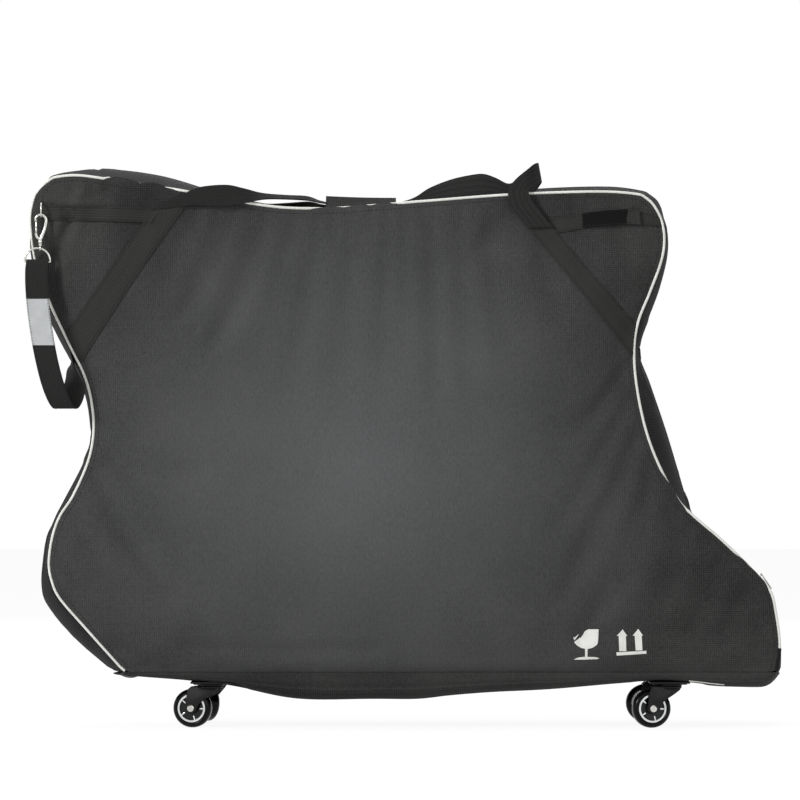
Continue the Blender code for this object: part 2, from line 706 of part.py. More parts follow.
def make_tray(name):
    """The base: a shallow stiffened tray whose underside sags into a belly."""
    rim = HINGE_HEIGHT
    front, rear = SEAM[0].x, SEAM[-1].x
    work = bmesh.new()
    under, over = [], []
    for index in range(TRAY_STATIONS + 1):
        x = front + (rear - front) * index / TRAY_STATIONS
        low, high = [], []
        for step in range(TRAY_SECTION + 1):
            angle = math.pi * step / TRAY_SECTION
            y = BASE_HALF_DEPTH * math.copysign(abs(math.cos(angle)) ** TRAY_SQUARENESS, math.cos(angle))
            z = rim - (rim - belly_height(x)) * abs(math.sin(angle)) ** TRAY_SQUARENESS
            place = bowed(x, y)
            top = work.verts.new((place, y, rim))
            high.append(top)
            low.append(top if step in (0, TRAY_SECTION) else work.verts.new((place, y, z)))
        under.append(low)
        over.append(high)
    for rows in (under, over):
        for first, second in zip(rows, rows[1:]):
            for step in range(TRAY_SECTION):
                work.faces.new((first[step], first[step + 1], second[step + 1], second[step]))
    for low, high in ((under[0], over[0]), (under[-1], over[-1])):
        for step in range(TRAY_SECTION):
            corners = (low[step], low[step + 1], high[step + 1], high[step])
            work.faces.new(list(dict.fromkeys(corners)))
    tray = new_object(name, work)
    inner_half = BASE_HALF_DEPTH - TRAY_WALL
    combine(tray, box("tray_room", (RAIL_FRONT_X - TRAY_WALL, -inner_half, TRAY_FLOOR),
                      (RAIL_REAR_X + TRAY_WALL, inner_half, rim + TRAY_WALL)), "DIFFERENCE")
    for x in (CASTER_FRONT_X, CASTER_REAR_X):
        for side in (-1, 1):
            half = (PLATE_LENGTH / 2 + SEAT_GAP, PLATE_WIDTH / 2 + SEAT_GAP)
            y = side * CASTER_SIDE
            pocket = box("caster_seat", (x - half[0], y - half[1], 0.0),
                         (x + half[0], y + half[1], CASTER_HEIGHT + SEAT_GAP))
            combine(tray, pocket, "DIFFERENCE")
    return tray


def make_caster(place, x, side, bodies):
    """One swivel caster: its plate, fork, axle bolt, rim and tyre."""
    y = side * CASTER_SIDE
    heading = Matrix.Rotation(math.radians(CASTER_HEADINGS[place]), 4, "Z")
    frame = Matrix.Translation((x, y, 0.0)) @ heading
    plate_low = CASTER_HEIGHT - PLATE_THICKNESS
    race_low = plate_low - RACE_HEIGHT
    top = box(f"caster_plate_{place}", (x - PLATE_LENGTH / 2, y - PLATE_WIDTH / 2, plate_low),
              (x + PLATE_LENGTH / 2, y + PLATE_WIDTH / 2, CASTER_HEIGHT))
    race = rod("race", (x, y, race_low), (x, y, plate_low + PLATE_THICKNESS / 2), RACE_RADIUS, 16)
    bodies["root"].add(combine(top, race, "UNION"), "caster_steel")

    swivel = Body(f"swivel_{place}", (x, y, race_low))
    bridge_top = race_low - SEAT_GAP
    slot_half = WHEEL_WIDTH / 2 + FORK_CLEARANCE
    outer_half = slot_half + FORK_LEG
    boss = HUB_RADIUS
    axle_z = WHEEL_RADIUS
    foot = [(-CASTER_TRAIL + boss * math.cos(a), axle_z + boss * math.sin(a))
            for a in [math.radians(180 + 36 * step) for step in range(5)]]
    leg = [(FORK_FRONT, bridge_top), (-CASTER_TRAIL, bridge_top)]
    leg += [(-CASTER_TRAIL - FORK_BACK, bridge_top - FORK_SHOULDER)] + foot
    leg += [(-CASTER_TRAIL + WHEEL_RADIUS - 2 * FORK_BACK, axle_z + FORK_WAIST),
            (FORK_WAIST, bridge_top - FORK_SHOULDER)]
    fork = plate(f"caster_fork_{place}", leg, -outer_half, outer_half, frame)
    disc = rod("fork_disc", (x, y, bridge_top - FORK_BRIDGE), (x, y, bridge_top),
               RACE_RADIUS - RACE_INSET, 16)
    combine(fork, disc, "UNION")
    slot_top = bridge_top - FORK_BRIDGE
    reach = FORK_SLOT_REACH
    slot = [(-reach, -reach), (reach, -reach), (reach, slot_top), (-reach, slot_top)]
    combine(fork, plate("wheel_slot", slot, -slot_half, slot_half, frame), "DIFFERENCE")
    axle = frame @ Vector((-CASTER_TRAIL, 0.0, axle_z))
    across = (heading @ Vector((0.0, 1.0, 0.0))).normalized()
    hole = rod("axle_hole", axle - reach * across, axle + reach * across, BOLT_RADIUS + SEAT_GAP, 12)
    swivel.add(combine(fork, hole, "DIFFERENCE"), "caster_steel")
    head = outer_half + SEAT_GAP
    cap = head + BOLT_HEAD_HEIGHT
    rounding = BOLT_HEAD_ROUNDING
    steps = [(-cap, BOLT_HEAD_RADIUS - rounding), (-cap + rounding, BOLT_HEAD_RADIUS), (-head, BOLT_HEAD_RADIUS),
             (-head, BOLT_RADIUS), (head, BOLT_RADIUS), (head, BOLT_HEAD_RADIUS), (cap, BOLT_HEAD_RADIUS)]
    bolt = stacked(f"axle_bolt_{place}", steps, axle, across, 12)
    swivel.add(shade(bolt), "bright_metal")

    wheel = Body(f"wheel_{place}", axle)
    half = WHEEL_WIDTH / 2
    vertex = 1 / math.cos(math.pi / WHEEL_SEGMENTS)
    rim_radius = RIM_SHARE * WHEEL_RADIUS
    start = math.pi / WHEEL_SEGMENTS
    shoulder = half - TYRE_SHOULDER
    flank = [(half - RIM_INSET, rim_radius + SEAT_GAP), (half, WHEEL_RADIUS - TYRE_WALL_DROP),
             (shoulder, WHEEL_RADIUS - TYRE_SHOULDER_DROP), (TREAD_WIDTH / 2, WHEEL_RADIUS)]
    tread = flank + [(-along, radius) for along, radius in reversed(flank)]
    tread = [(along, radius * vertex) for along, radius in tread]
    tyre = turned(f"tyre_{place}", tread, axle, across, WHEEL_SEGMENTS, start)
    wheel.add(shade(tyre, 50), "tyre_rubber")
    hub_half = slot_half - SEAT_GAP
    rim = make_rim(f"rim_{place}", axle, across, rim_radius, half - RIM_INSET, hub_half, start)
    wheel.add(shade(rim), "rim_plastic")


def make_rim(name, centre, axis, radius, half, hub_half, start):
    """A spoked rim: a hub and a ring of one pattern of segments, joined at every fifth segment."""
    axis = Vector(axis).normalized()
    across = Vector((0, 0, -1))
    beside = axis.cross(across)
    vertex = 1 / math.cos(math.pi / WHEEL_SEGMENTS)
    radii = [(BOLT_RADIUS + SEAT_GAP) * vertex, HUB_RADIUS, radius - RIM_WALL, radius * vertex]
    work = bmesh.new()
    grid = []
    for step in range(WHEEL_SEGMENTS):
        angle = start + 2 * math.pi * step / WHEEL_SEGMENTS
        out = math.cos(angle) * across + math.sin(angle) * beside
        column = []
        for index, size in enumerate(radii):
            reach = hub_half if index < 2 else half
            column.append([work.verts.new(Vector(centre) + size * out + end * reach * axis) for end in (-1, 1)])
        grid.append(column)
    per_spoke = WHEEL_SEGMENTS // SPOKES
    for step in range(WHEEL_SEGMENTS):
        here, there = grid[step], grid[(step + 1) % WHEEL_SEGMENTS]
        spoke = step % per_spoke == FIRST_SPOKE
        spans = [(0, 1), (2, 3)] + ([(1, 2)] if spoke else [])
        for low, high in spans:
            for end in (0, 1):
                work.faces.new((here[low][end], here[high][end], there[high][end], there[low][end]))
        for level in (0, 3) if spoke else (0, 1, 2, 3):
            work.faces.new((here[level][0], here[level][1], there[level][1], there[level][0]))
        if spoke:
            for column in (here, there):
                work.faces.new((column[1][0], column[2][0], column[2][1], column[1][1]))
    return new_object(name, work)


def make_rail(name, side):
    """A square tube along the floor of the tray."""
    y = side * RAIL_SIDE
    low = TRAY_FLOOR + CROSS_PLATE_THICKNESS + 2 * SEAT_GAP
    rail = box(name, (RAIL_FRONT_X, y - RAIL_SIZE / 2, low),
               (RAIL_REAR_X, y + RAIL_SIZE / 2, low + RAIL_SIZE))
    hollow = box("rail_room", (RAIL_FRONT_X - RAIL_SIZE, y - RAIL_SIZE / 2 + RAIL_WALL, low + RAIL_WALL),
                 (RAIL_REAR_X + RAIL_SIZE, y + RAIL_SIZE / 2 - RAIL_WALL, low + RAIL_SIZE - RAIL_WALL))
    return combine(rail, hollow, "DIFFERENCE")


def make_stand(name, foot_x, axle_x, axle_z, width):
    """A saddle over both rails with a post that carries an axle tube."""
    rail_top = TRAY_FLOOR + CROSS_PLATE_THICKNESS + 2 * SEAT_GAP + RAIL_SIZE
    low = rail_top + SEAT_GAP
    half = STAND_FOOT_LENGTH / 2
    outer = RAIL_SIDE + RAIL_SIZE / 2 + SEAT_GAP + STAND_PLATE
    saddle = box(name, (foot_x - half, -outer, low - STAND_LIP), (foot_x + half, outer, low + STAND_PLATE))
    inside = outer - STAND_PLATE
    combine(saddle, box("saddle_room", (foot_x - 2 * half, -inside, low - 2 * STAND_LIP),
                        (foot_x + 2 * half, inside, low)), "DIFFERENCE")
    sections = []
    for x, z, size in ((foot_x, low + STAND_PLATE / 2, POST_FOOT), (axle_x, axle_z, POST_HEAD)):
        a, b = size[0] / 2, size[1] / 2
        sections.append([(x - a, -b, z), (x + a, -b, z), (x + a, b, z), (x - a, b, z)])
    combine(saddle, loft("post", sections), "UNION")
    combine(saddle, rod("axle_tube", (axle_x, -width / 2, axle_z), (axle_x, width / 2, axle_z),
                        AXLE_TUBE_RADIUS, 20), "UNION")
    combine(saddle, rod("skewer_hole", (axle_x, -width, axle_z), (axle_x, width, axle_z),
                        SKEWER_RADIUS + SEAT_GAP, 12), "DIFFERENCE")
    return saddle


def cam_face(width):
    """How far the cam head's outer face lies from the middle plane."""
    return width / 2 + DROPOUT_ROOM + NUT_LENGTH / 2 + CAM_SEAT


def lever_pivot(axle_x, axle_z, width):
    """Where a quick-release lever turns: the axis of its cam barrel, against the cam head."""
    return (axle_x, -cam_face(width) - SEAT_GAP - CAM_RADIUS, axle_z)


def make_skewer(name, axle_x, axle_z, width):
    """The skewer through the axle tube, with its nut on the far side and its cam head on the near side."""
    reach = width / 2 + DROPOUT_ROOM
    skewer = rod(name, (axle_x, -cam_face(width) + CAM_SEAT, axle_z), (axle_x, reach + NUT_LENGTH / 2, axle_z),
                 SKEWER_RADIUS, 12)
    for low, high in ((-cam_face(width), -reach), (reach, reach + NUT_LENGTH)):
        combine(skewer, rod("nut", (axle_x, low, axle_z), (axle_x, high, axle_z), NUT_RADIUS, 12), "UNION")
    return skewer


def make_lever(name, pivot):
    """A quick-release lever, closed upwards: an arm on a cam barrel that turns outwards about X."""
    x, y, z = pivot
    thick = LEVER_THICKNESS / 2
    sections = []
    for share, half, lean in LEVER_PROFILE:
        up = share * LEVER_LENGTH
        sections.append([(x - half, y - thick - lean, z + up), (x + half, y - thick - lean, z + up),
                         (x + half, y + thick - lean, z + up), (x - half, y + thick - lean, z + up)])
    arm = loft(name, sections)
    barrel = rod("cam_barrel", (x - CAM_LENGTH / 2, y, z), (x + CAM_LENGTH / 2, y, z), CAM_RADIUS, 12)
    return combine(arm, barrel, "UNION")


def bow_section(width, height, steps, squareness):
    """Half a rounded loop, from one end of its flat bar to the other, as (along, out) pairs."""
    turns = [math.pi * step / steps for step in range(1, steps)]
    return [(width * math.cos(turn), height * math.sin(turn) ** squareness) for turn in turns]


def make_strap_ring(centre):
    """The ring at the end of the cross strap: a flat bar held by the strap and a bow that stands out."""
    bar = [centre + Vector((0.0, 0.0, RING_HEIGHT / 2 * share)) for share in (1.0, 0.5, 0.0, -0.5)]
    bow = bow_section(-RING_HEIGHT / 2, RING_REACH, 10, 0.8)
    bottom = [centre - Vector((0.0, 0.0, RING_HEIGHT / 2))]
    route = bar + bottom + [centre + Vector((0.0, -out, along)) for along, out in bow]
    return shade(tube("strap_ring", route, RING_WIRE, 6, closed=True))


def make_snap_hook(top):
    """The hook: a bow of wire round a throat, a heel that carries the gate, and the swivel post."""
    wire = tube("snap_hook", [top + Vector((x, 0.0, z)) for x, z in smooth_curve(HOOK_BOW, 22)], HOOK_WIRE, 8)
    seat = (HOOK_GATE[0][0], HOOK_GATE[0][1] - GATE_RADIUS - SEAT_GAP)
    heel = tube("heel", [top + Vector((x, 0.0, z)) for x, z in [seat, *HOOK_HEEL]], HEEL_RADIUS, 8)
    combine(wire, heel, "UNION")
    post = [top - Vector((0.0, 0.0, HOOK_LENGTH - rise)) for rise in (HOOK_POST_LENGTH, 0.0)]
    return shade(combine(wire, rod("hook_post", *post, HOOK_POST_RADIUS, 12), "UNION"))


def make_gate(foot, tip):
    """The hook's gate: a rod with a round foot that turns in the seat of the heel."""
    rounds = [(-0.98, 0.20), (-0.70, 0.71), (0.0, 1.0)]
    route = [foot + Vector((0.0, 0.0, GATE_RADIUS * down)) for down, _ in rounds] + [tip]
    radii = [GATE_RADIUS * share for _, share in rounds] + [GATE_RADIUS]
    return shade(tube("snap_hook_gate", route, radii, 8))


def make_hook_eye(centre, post_top):
    """The eye under the hook: a small ring through the D-ring with the post that the hook swivels on."""
    turns = [2 * math.pi * step / 14 for step in range(14)]
    route = [centre + EYE_RADIUS * Vector((0.0, math.cos(turn), math.sin(turn))) for turn in turns]
    eye = tube("hook_eye", route, EYE_WIRE, 6, closed=True)
    post = rod("eye_post", centre + Vector((0.0, 0.0, EYE_RADIUS)), post_top, EYE_POST_RADIUS, 12)
    return shade(combine(eye, post, "UNION"))


def make_d_ring(bar_centre):
    """The D-ring that joins the eye to the pull strap."""
    half = D_RING_WIDTH / 2
    bar = [bar_centre + Vector((half * share, 0.0, 0.0)) for share in (-1.0, -0.5, 0.0, 0.5, 1.0)]
    bow = bow_section(half, D_RING_HEIGHT, 12, 0.9)
    route = bar + [bar_centre + Vector((along, 0.0, out)) for along, out in bow]
    return shade(tube("d_ring", route, D_RING_WIRE, 6, closed=True))


def make_near_metalwork(side_body):
    """The ring, snap hook, D-ring and pull strap at the near front edge."""
    x, z = side_point(RING_SHARE)
    ring = Vector((x, -(panel_depth(x, z) + STRAP_GAP + WEB_THICKNESS / 2), z))
    side_body.add(make_strap_ring(ring), "bright_metal")
    top = ring + Vector((-HOOK_SIDE, -HOOK_OUT, HOOK_WIRE + RING_WIRE + HOOK_PLAY - RING_HEIGHT / 2))
    swivel = top - Vector((0.0, 0.0, HOOK_LENGTH))
    Body("snap_hook", swivel).add(make_snap_hook(top), "bright_metal")
    gate_foot, gate_tip = (top + Vector((x, 0.0, z)) for x, z in HOOK_GATE)
    Body("snap_hook_gate", gate_foot).add(make_gate(gate_foot, gate_tip), "bright_metal")
    eye = swivel - Vector((0.0, 0.0, EYE_DROP))
    side_body.add(make_hook_eye(eye, swivel - Vector((0.0, 0.0, SEAT_GAP))), "bright_metal")
    bar = eye - Vector((D_RING_SIDE, 0.0, D_RING_HEIGHT))
    side_body.add(make_d_ring(bar), "bright_metal")
    reach = D_RING_WIRE + WEB_THICKNESS / 2 + 2 * SEAT_GAP
    wrap = [bar + Vector((0.0, reach, -LOOP_TAIL)), bar + Vector((0.0, reach, -LOOP_TAIL / 3))]
    for step in range(5):
        turn = math.pi * step / 4
        wrap.append(bar + reach * Vector((0.0, math.cos(turn), math.sin(turn))))
    stations = [(place, (1, 0, 0), PULL_WEB, WEB_THICKNESS) for place in wrap]
    front = bar - Vector((0.0, reach, 0.0))
    stations += [(front + Vector(place), across, PULL_WEB, WEB_THICKNESS) for place, across in PULL_STRAP_ROUTE]
    side_body.add(make_ribbon("pull_strap", stations), "webbing")


def handle_ends(side):
    """The two sewn ends of a carrying handle, just above the piping."""
    ends = []
    for share in HANDLE_ENDS:
        seam = min([point for point in SEAM if point.y > HINGE_HEIGHT + TOP_EDGE_SHARE * SIDE_HEIGHT],
                   key=lambda point: abs(point.x - share * SIDE_LENGTH))
        lift = PIPING_RADIUS + WEB_THICKNESS / 2 + HANDLE_END_LIFT
        ends.append(Vector((seam.x, side * seam_depth(*seam), seam.y + lift)))
    return ends


def gusset_height(x, y):
    """Height of the gusset's outer face above a point near the top of the bag."""
    floor = HINGE_HEIGHT + TOP_EDGE_SHARE * SIDE_HEIGHT
    seam = min([point for point in SEAM if point.y > floor], key=lambda point: abs(point.x - x))
    crown = min([point for point in CROWN_DENSE if point.y > floor], key=lambda point: abs(point.x - x))
    depth = seam_depth(*seam)
    share = min(1.0, max(0.0, (depth - abs(y)) / (depth - ZIP_HALF_WIDTH)))
    return seam.y + (crown.y - seam.y) * math.sin(share * math.pi / 2)


def over_gusset(side, x, y, tilt, width, thickness, lift):
    """A station of webbing that clears the gusset by a lift; at a tilt of 90 degrees it stands on edge."""
    turn = math.radians(tilt)
    across = Vector((0.0, side * math.cos(turn), math.sin(turn)))
    middle = -1.0
    for share in (-0.5, -0.25, 0.0, 0.25, 0.5):
        place = across * width * share
        middle = max(middle, gusset_height(x, y + side * place.y) - place.z)
    return (Vector((x, side * y, middle + lift + thickness / 2)), across, width, thickness)


def make_handle(name, side):
    """A carrying handle that lies on top of the bag, folded narrow at the grip."""
    front, rear = handle_ends(side)
    flat = (WIDE_WEB, WEB_THICKNESS)

    def turn(end, stations):
        result = []
        for (along, inwards, up), (a, b, c) in stations:
            place = end + Vector((along, -side * inwards, up))
            result.append((place, (a, -side * b, c), *flat))
        return result

    def lying(x, stations):
        return [over_gusset(side, x + along, *rest) for along, *rest in stations]

    half = GRIP_LENGTH / 2
    grip = [(along, *HANDLE_GRIP_LAY) for along in (-half, 0.0, half)]
    sewn = (rear - front, HANDLE_END_WIDTH, WEB_THICKNESS)
    stations = [(front, *sewn)] + turn(front, HANDLE_FRONT_TURN)
    stations += lying(front.x, HANDLE_FRONT_LAY) + lying(GRIP_X - half, [HANDLE_FRONT_TAPER])
    stations += lying(GRIP_X, grip) + lying(GRIP_X + half, [HANDLE_REAR_TAPER])
    stations += lying(rear.x, HANDLE_REAR_LAY) + turn(rear, HANDLE_REAR_TURN) + [(rear, *sewn)]
    return make_ribbon(name, stations)


def make_slider(side_body):
    """The zip slider over the chain near the rear end, with its hinged pull."""
    at = CROWN[-5]
    out = (at - PANEL_CENTRE).normalized()
    along = (CROWN[-4] - CROWN[-6]).normalized()
    out = (out - out.project(along)).normalized()
    frame = Matrix(((along.x, 0, out.x, at.x), (0, 1, 0, 0), (along.y, 0, out.y, at.y), (0, 0, 0, 1)))
    low, high = SEAT_GAP, SEAT_GAP + SLIDER_HEIGHT
    foot, crest = SLIDER_LENGTH / 2, SLIDER_LENGTH / 2 - SLIDER_CREST_INSET
    outline = [(-foot, low), (foot, low), (crest, high), (-crest, high)]
    slider = plate("zip_slider", outline, -SLIDER_WIDTH / 2, SLIDER_WIDTH / 2, frame)
    top = high + BAIL_HEIGHT
    bail = [(-BAIL_LENGTH / 2, low), (BAIL_LENGTH / 2, low), (BAIL_LENGTH / 3, top), (-BAIL_LENGTH / 3, top)]
    combine(slider, plate("bail", bail, -BAIL_HALF_WIDTH, BAIL_HALF_WIDTH, frame), "UNION")
    side_body.add(slider, "bright_metal")
    thick = PULL_THICKNESS
    pivot = frame @ Vector((0.0, 0.0, top + SEAT_GAP + thick / 2))
    under, over = top + SEAT_GAP, top + SEAT_GAP + thick
    middle = (under + over) / 2
    knuckle = [(thick / 2 * math.cos(turn), middle + thick / 2 * math.sin(turn))
               for turn in [math.radians(90 + 45 * step) for step in range(5)]]
    outline = knuckle + [(PULL_LENGTH, under), (PULL_LENGTH, over)]
    Body("zip_pull", pivot).add(plate("zip_pull", outline, -PULL_WIDTH / 2, PULL_WIDTH / 2, frame),
                                "bright_metal")


def make_side(label, side):
    """Everything that folds down with one side of the bag."""
    body = Body(f"{label}_side", (0.0, side * BASE_HALF_DEPTH, HINGE_HEIGHT))
    body.add(make_panel(f"{label}_panel", side), "bag_fabric")
    body.add(make_gusset(f"{label}_gusset", side), "bag_fabric")
    body.add(make_piping(f"{label}_piping", side), "piping")
    body.add(make_zip_chain(f"{label}_zip_chain", side), "zip")
    for end, shares in (("front", FRONT_STRAP), ("rear", REAR_STRAP)):
        route = [side_point(share) for share in shares]
        body.add(make_flat_strap(f"{label}_{end}_strap", side, route, WIDE_WEB), "webbing")
    return body


def build():
    """Build every piece of the bag."""
    remove_everything()
    bodies = {"root": Body("root")}
    root = bodies["root"]
    root.add(shade(make_tray("base_tray")), "tray_fabric")
    for label, side in (("near", -1), ("far", 1)):
        root.add(make_rail(f"rail_{label}", side), "frame_alloy")
        root.add(make_skid_foot(f"skid_foot_{label}", side), "foot_plastic")
    for place, x in (("front", CASTER_FRONT_X), ("rear", CASTER_REAR_X)):
        low = TRAY_FLOOR + SEAT_GAP
        root.add(box(f"{place}_cross_plate", (x - CROSS_PLATE_LENGTH / 2, -CROSS_PLATE_WIDTH / 2, low),
                     (x + CROSS_PLATE_LENGTH / 2, CROSS_PLATE_WIDTH / 2, low + CROSS_PLATE_THICKNESS)),
                 "frame_alloy")
        for label, side in (("near", -1), ("far", 1)):
            make_caster(f"{place}_{label}", x, side, bodies)

    root.add(make_stand("rear_dropout_stand", REAR_STAND_FOOT_X, REAR_AXLE_X, REAR_AXLE_HEIGHT, REAR_WIDTH),
             "frame_alloy")
    root.add(make_skewer("rear_axle", REAR_AXLE_X, REAR_AXLE_HEIGHT, REAR_WIDTH), "bright_metal")
    pivot = lever_pivot(REAR_AXLE_X, REAR_AXLE_HEIGHT, REAR_WIDTH)
    Body("rear_qr_lever", pivot).add(make_lever("rear_qr_lever", pivot), "bright_metal")
    stand = Body("front_fork_stand", (FORK_STAND_FOOT_X, 0.0, TRAY_FLOOR))
    stand.add(make_stand("front_fork_stand", FORK_STAND_FOOT_X, FORK_AXLE_X, FORK_AXLE_HEIGHT, FORK_WIDTH),
              "frame_alloy")
    stand.add(make_skewer("front_axle", FORK_AXLE_X, FORK_AXLE_HEIGHT, FORK_WIDTH), "bright_metal")
    pivot = lever_pivot(FORK_AXLE_X, FORK_AXLE_HEIGHT, FORK_WIDTH)
    Body("front_qr_lever", pivot).add(make_lever("front_qr_lever", pivot), "bright_metal")

    near = make_side("near", -1)
    far = make_side("far", 1)
    ring = side_point(RING_SHARE) + Vector((RING_WIRE + SEAT_GAP, 0.0))
    crosses = (("front", [ring] + [side_point(share) for share in FRONT_CROSS_STRAP]),
               ("rear", [side_point(share) for share in REAR_CROSS_STRAP]))
    for end, route in crosses:
        near.add(make_flat_strap(f"near_{end}_cross_strap", -1, route, NARROW_WEB, 6), "webbing")
    make_near_metalwork(near)
    make_slider(near)
    for label, side in (("near", -1), ("far", 1)):
        front_end, rear_end = handle_ends(side)
        Body(f"{label}_handle", (front_end + rear_end) / 2).add(make_handle(f"{label}_handle", side), "webbing")


build()
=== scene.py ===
"""Bike travel bag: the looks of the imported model, dressed in its own frame.

Metres, +Z up. X runs from the handlebar end (-X) to the rear end (+X), and the near side is at -Y.
Soft pieces are sheets shaped over the CAD's own outlines and settled as cloth. Rigid ones are modelled
with edit-mode operators, or are smoothed copies of the CAD's solids.
"""
import logging
import math
import random
from bisect import bisect
from contextlib import contextmanager
from dataclasses import dataclass, field
from enum import Enum
from typing import Callable, Iterable, Iterator, Optional, Sequence, Union

import bmesh
import bpy
from mathutils import Matrix, Vector
from mathutils.bvhtree import BVHTree
from mathutils.kdtree import KDTree


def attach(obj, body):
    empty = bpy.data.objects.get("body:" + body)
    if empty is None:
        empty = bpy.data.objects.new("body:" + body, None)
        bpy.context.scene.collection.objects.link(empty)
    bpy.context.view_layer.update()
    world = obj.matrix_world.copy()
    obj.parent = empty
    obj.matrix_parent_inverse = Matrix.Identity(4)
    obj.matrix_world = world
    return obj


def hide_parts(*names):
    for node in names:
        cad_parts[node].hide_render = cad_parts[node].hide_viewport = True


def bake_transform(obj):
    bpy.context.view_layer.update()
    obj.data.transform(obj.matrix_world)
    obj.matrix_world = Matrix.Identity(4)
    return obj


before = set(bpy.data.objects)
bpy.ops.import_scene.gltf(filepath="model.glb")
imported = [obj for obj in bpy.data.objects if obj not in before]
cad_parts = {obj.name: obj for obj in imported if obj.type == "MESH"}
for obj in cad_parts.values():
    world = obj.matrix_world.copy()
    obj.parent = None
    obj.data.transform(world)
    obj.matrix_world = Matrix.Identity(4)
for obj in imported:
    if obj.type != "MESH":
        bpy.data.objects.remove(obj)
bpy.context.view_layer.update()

LOG = logging.getLogger("travel_bag")
SEED = 11
SEAT_GAP = 0.0003
MM = 0.001
MERGE = 0.00001
# More metres than any two points of the bag lie apart.
APART = 9.0
# A wave texture at scale one repeats after this length.
WAVE_LENGTH = 2 * math.pi / 20
EVEN = (1.0, 1.0, 1.0)
ACROSS = Vector((0.0, 1.0, 0.0))
UP = Vector((0.0, 0.0, 1.0))
Piece = bpy.types.Object
Tree = bpy.types.NodeTree
Socket = bpy.types.NodeSocket
BMesh = bmesh.types.BMesh
Value = Union[float, Sequence[float], Socket]
Place = Callable[[float, float], Vector]
Line = Sequence[tuple[float, float]]
Rail = tuple[Sequence[float], Sequence[float]]


class Side(Enum):
    """The two sides of the bag, by the sign of Y."""

    NEAR = -1
    FAR = 1

    @property
    def label(self) -> str:
        """The word for this side in the names of pieces and bodies."""
        return self.name.lower()

    @property
    def body(self) -> str:
        """The CAD body of this side."""
        return f"{self.label}_side"


class Slot(Enum):
    """The material slots, by name."""

    FABRIC = "bag_fabric"
    WEBBING = "webbing"
    PIPING = "piping"
    TRAY = "tray_fabric"
    ZIP = "zip"
    BRIGHT = "bright_metal"
    FRAME = "frame_alloy"
    STEEL = "caster_steel"
    TYRE = "tyre_rubber"
    RIM = "rim_plastic"
    FOOT = "foot_plastic"


def linear(code: str) -> tuple[float, float, float, float]:
    """Turn an sRGB hex colour into linear values.

    Args:
        code: the colour, such as "#3c3c3b".

    Returns:
        Red, green, blue and a full alpha.
    """
    parts = [int(code[start:start + 2], 16) / 255 for start in (1, 3, 5)]
    values = [part / 12.92 if part <= 0.04045 else ((part + 0.055) / 1.055) ** 2.4 for part in parts]
    return (*values, 1.0)


def add_node(tree: Tree, kind: str, inputs: Optional[dict] = None, **settings) -> bpy.types.Node:
    """Add a node to a tree with its settings, values and links.

    Args:
        tree: the node tree.
        kind: the node's type name.
        inputs: for each input, by name or index, a value or the socket that feeds it.
        settings: the node's own properties.

    Returns:
        The new node.
    """
    node = tree.nodes.new(kind)
    for key, value in settings.items():
        setattr(node, key, value)
    for key, value in (inputs or {}).items():
        if isinstance(value, bpy.types.NodeSocket):
            tree.links.new(value, node.inputs[key])
        else:
            node.inputs[key].default_value = value
    return node


class Coordinates(Enum):
    """What a pattern follows: the object's own space, or metres along and across a sheet."""

    OBJECT = "Object"
    SHEET = "UV"


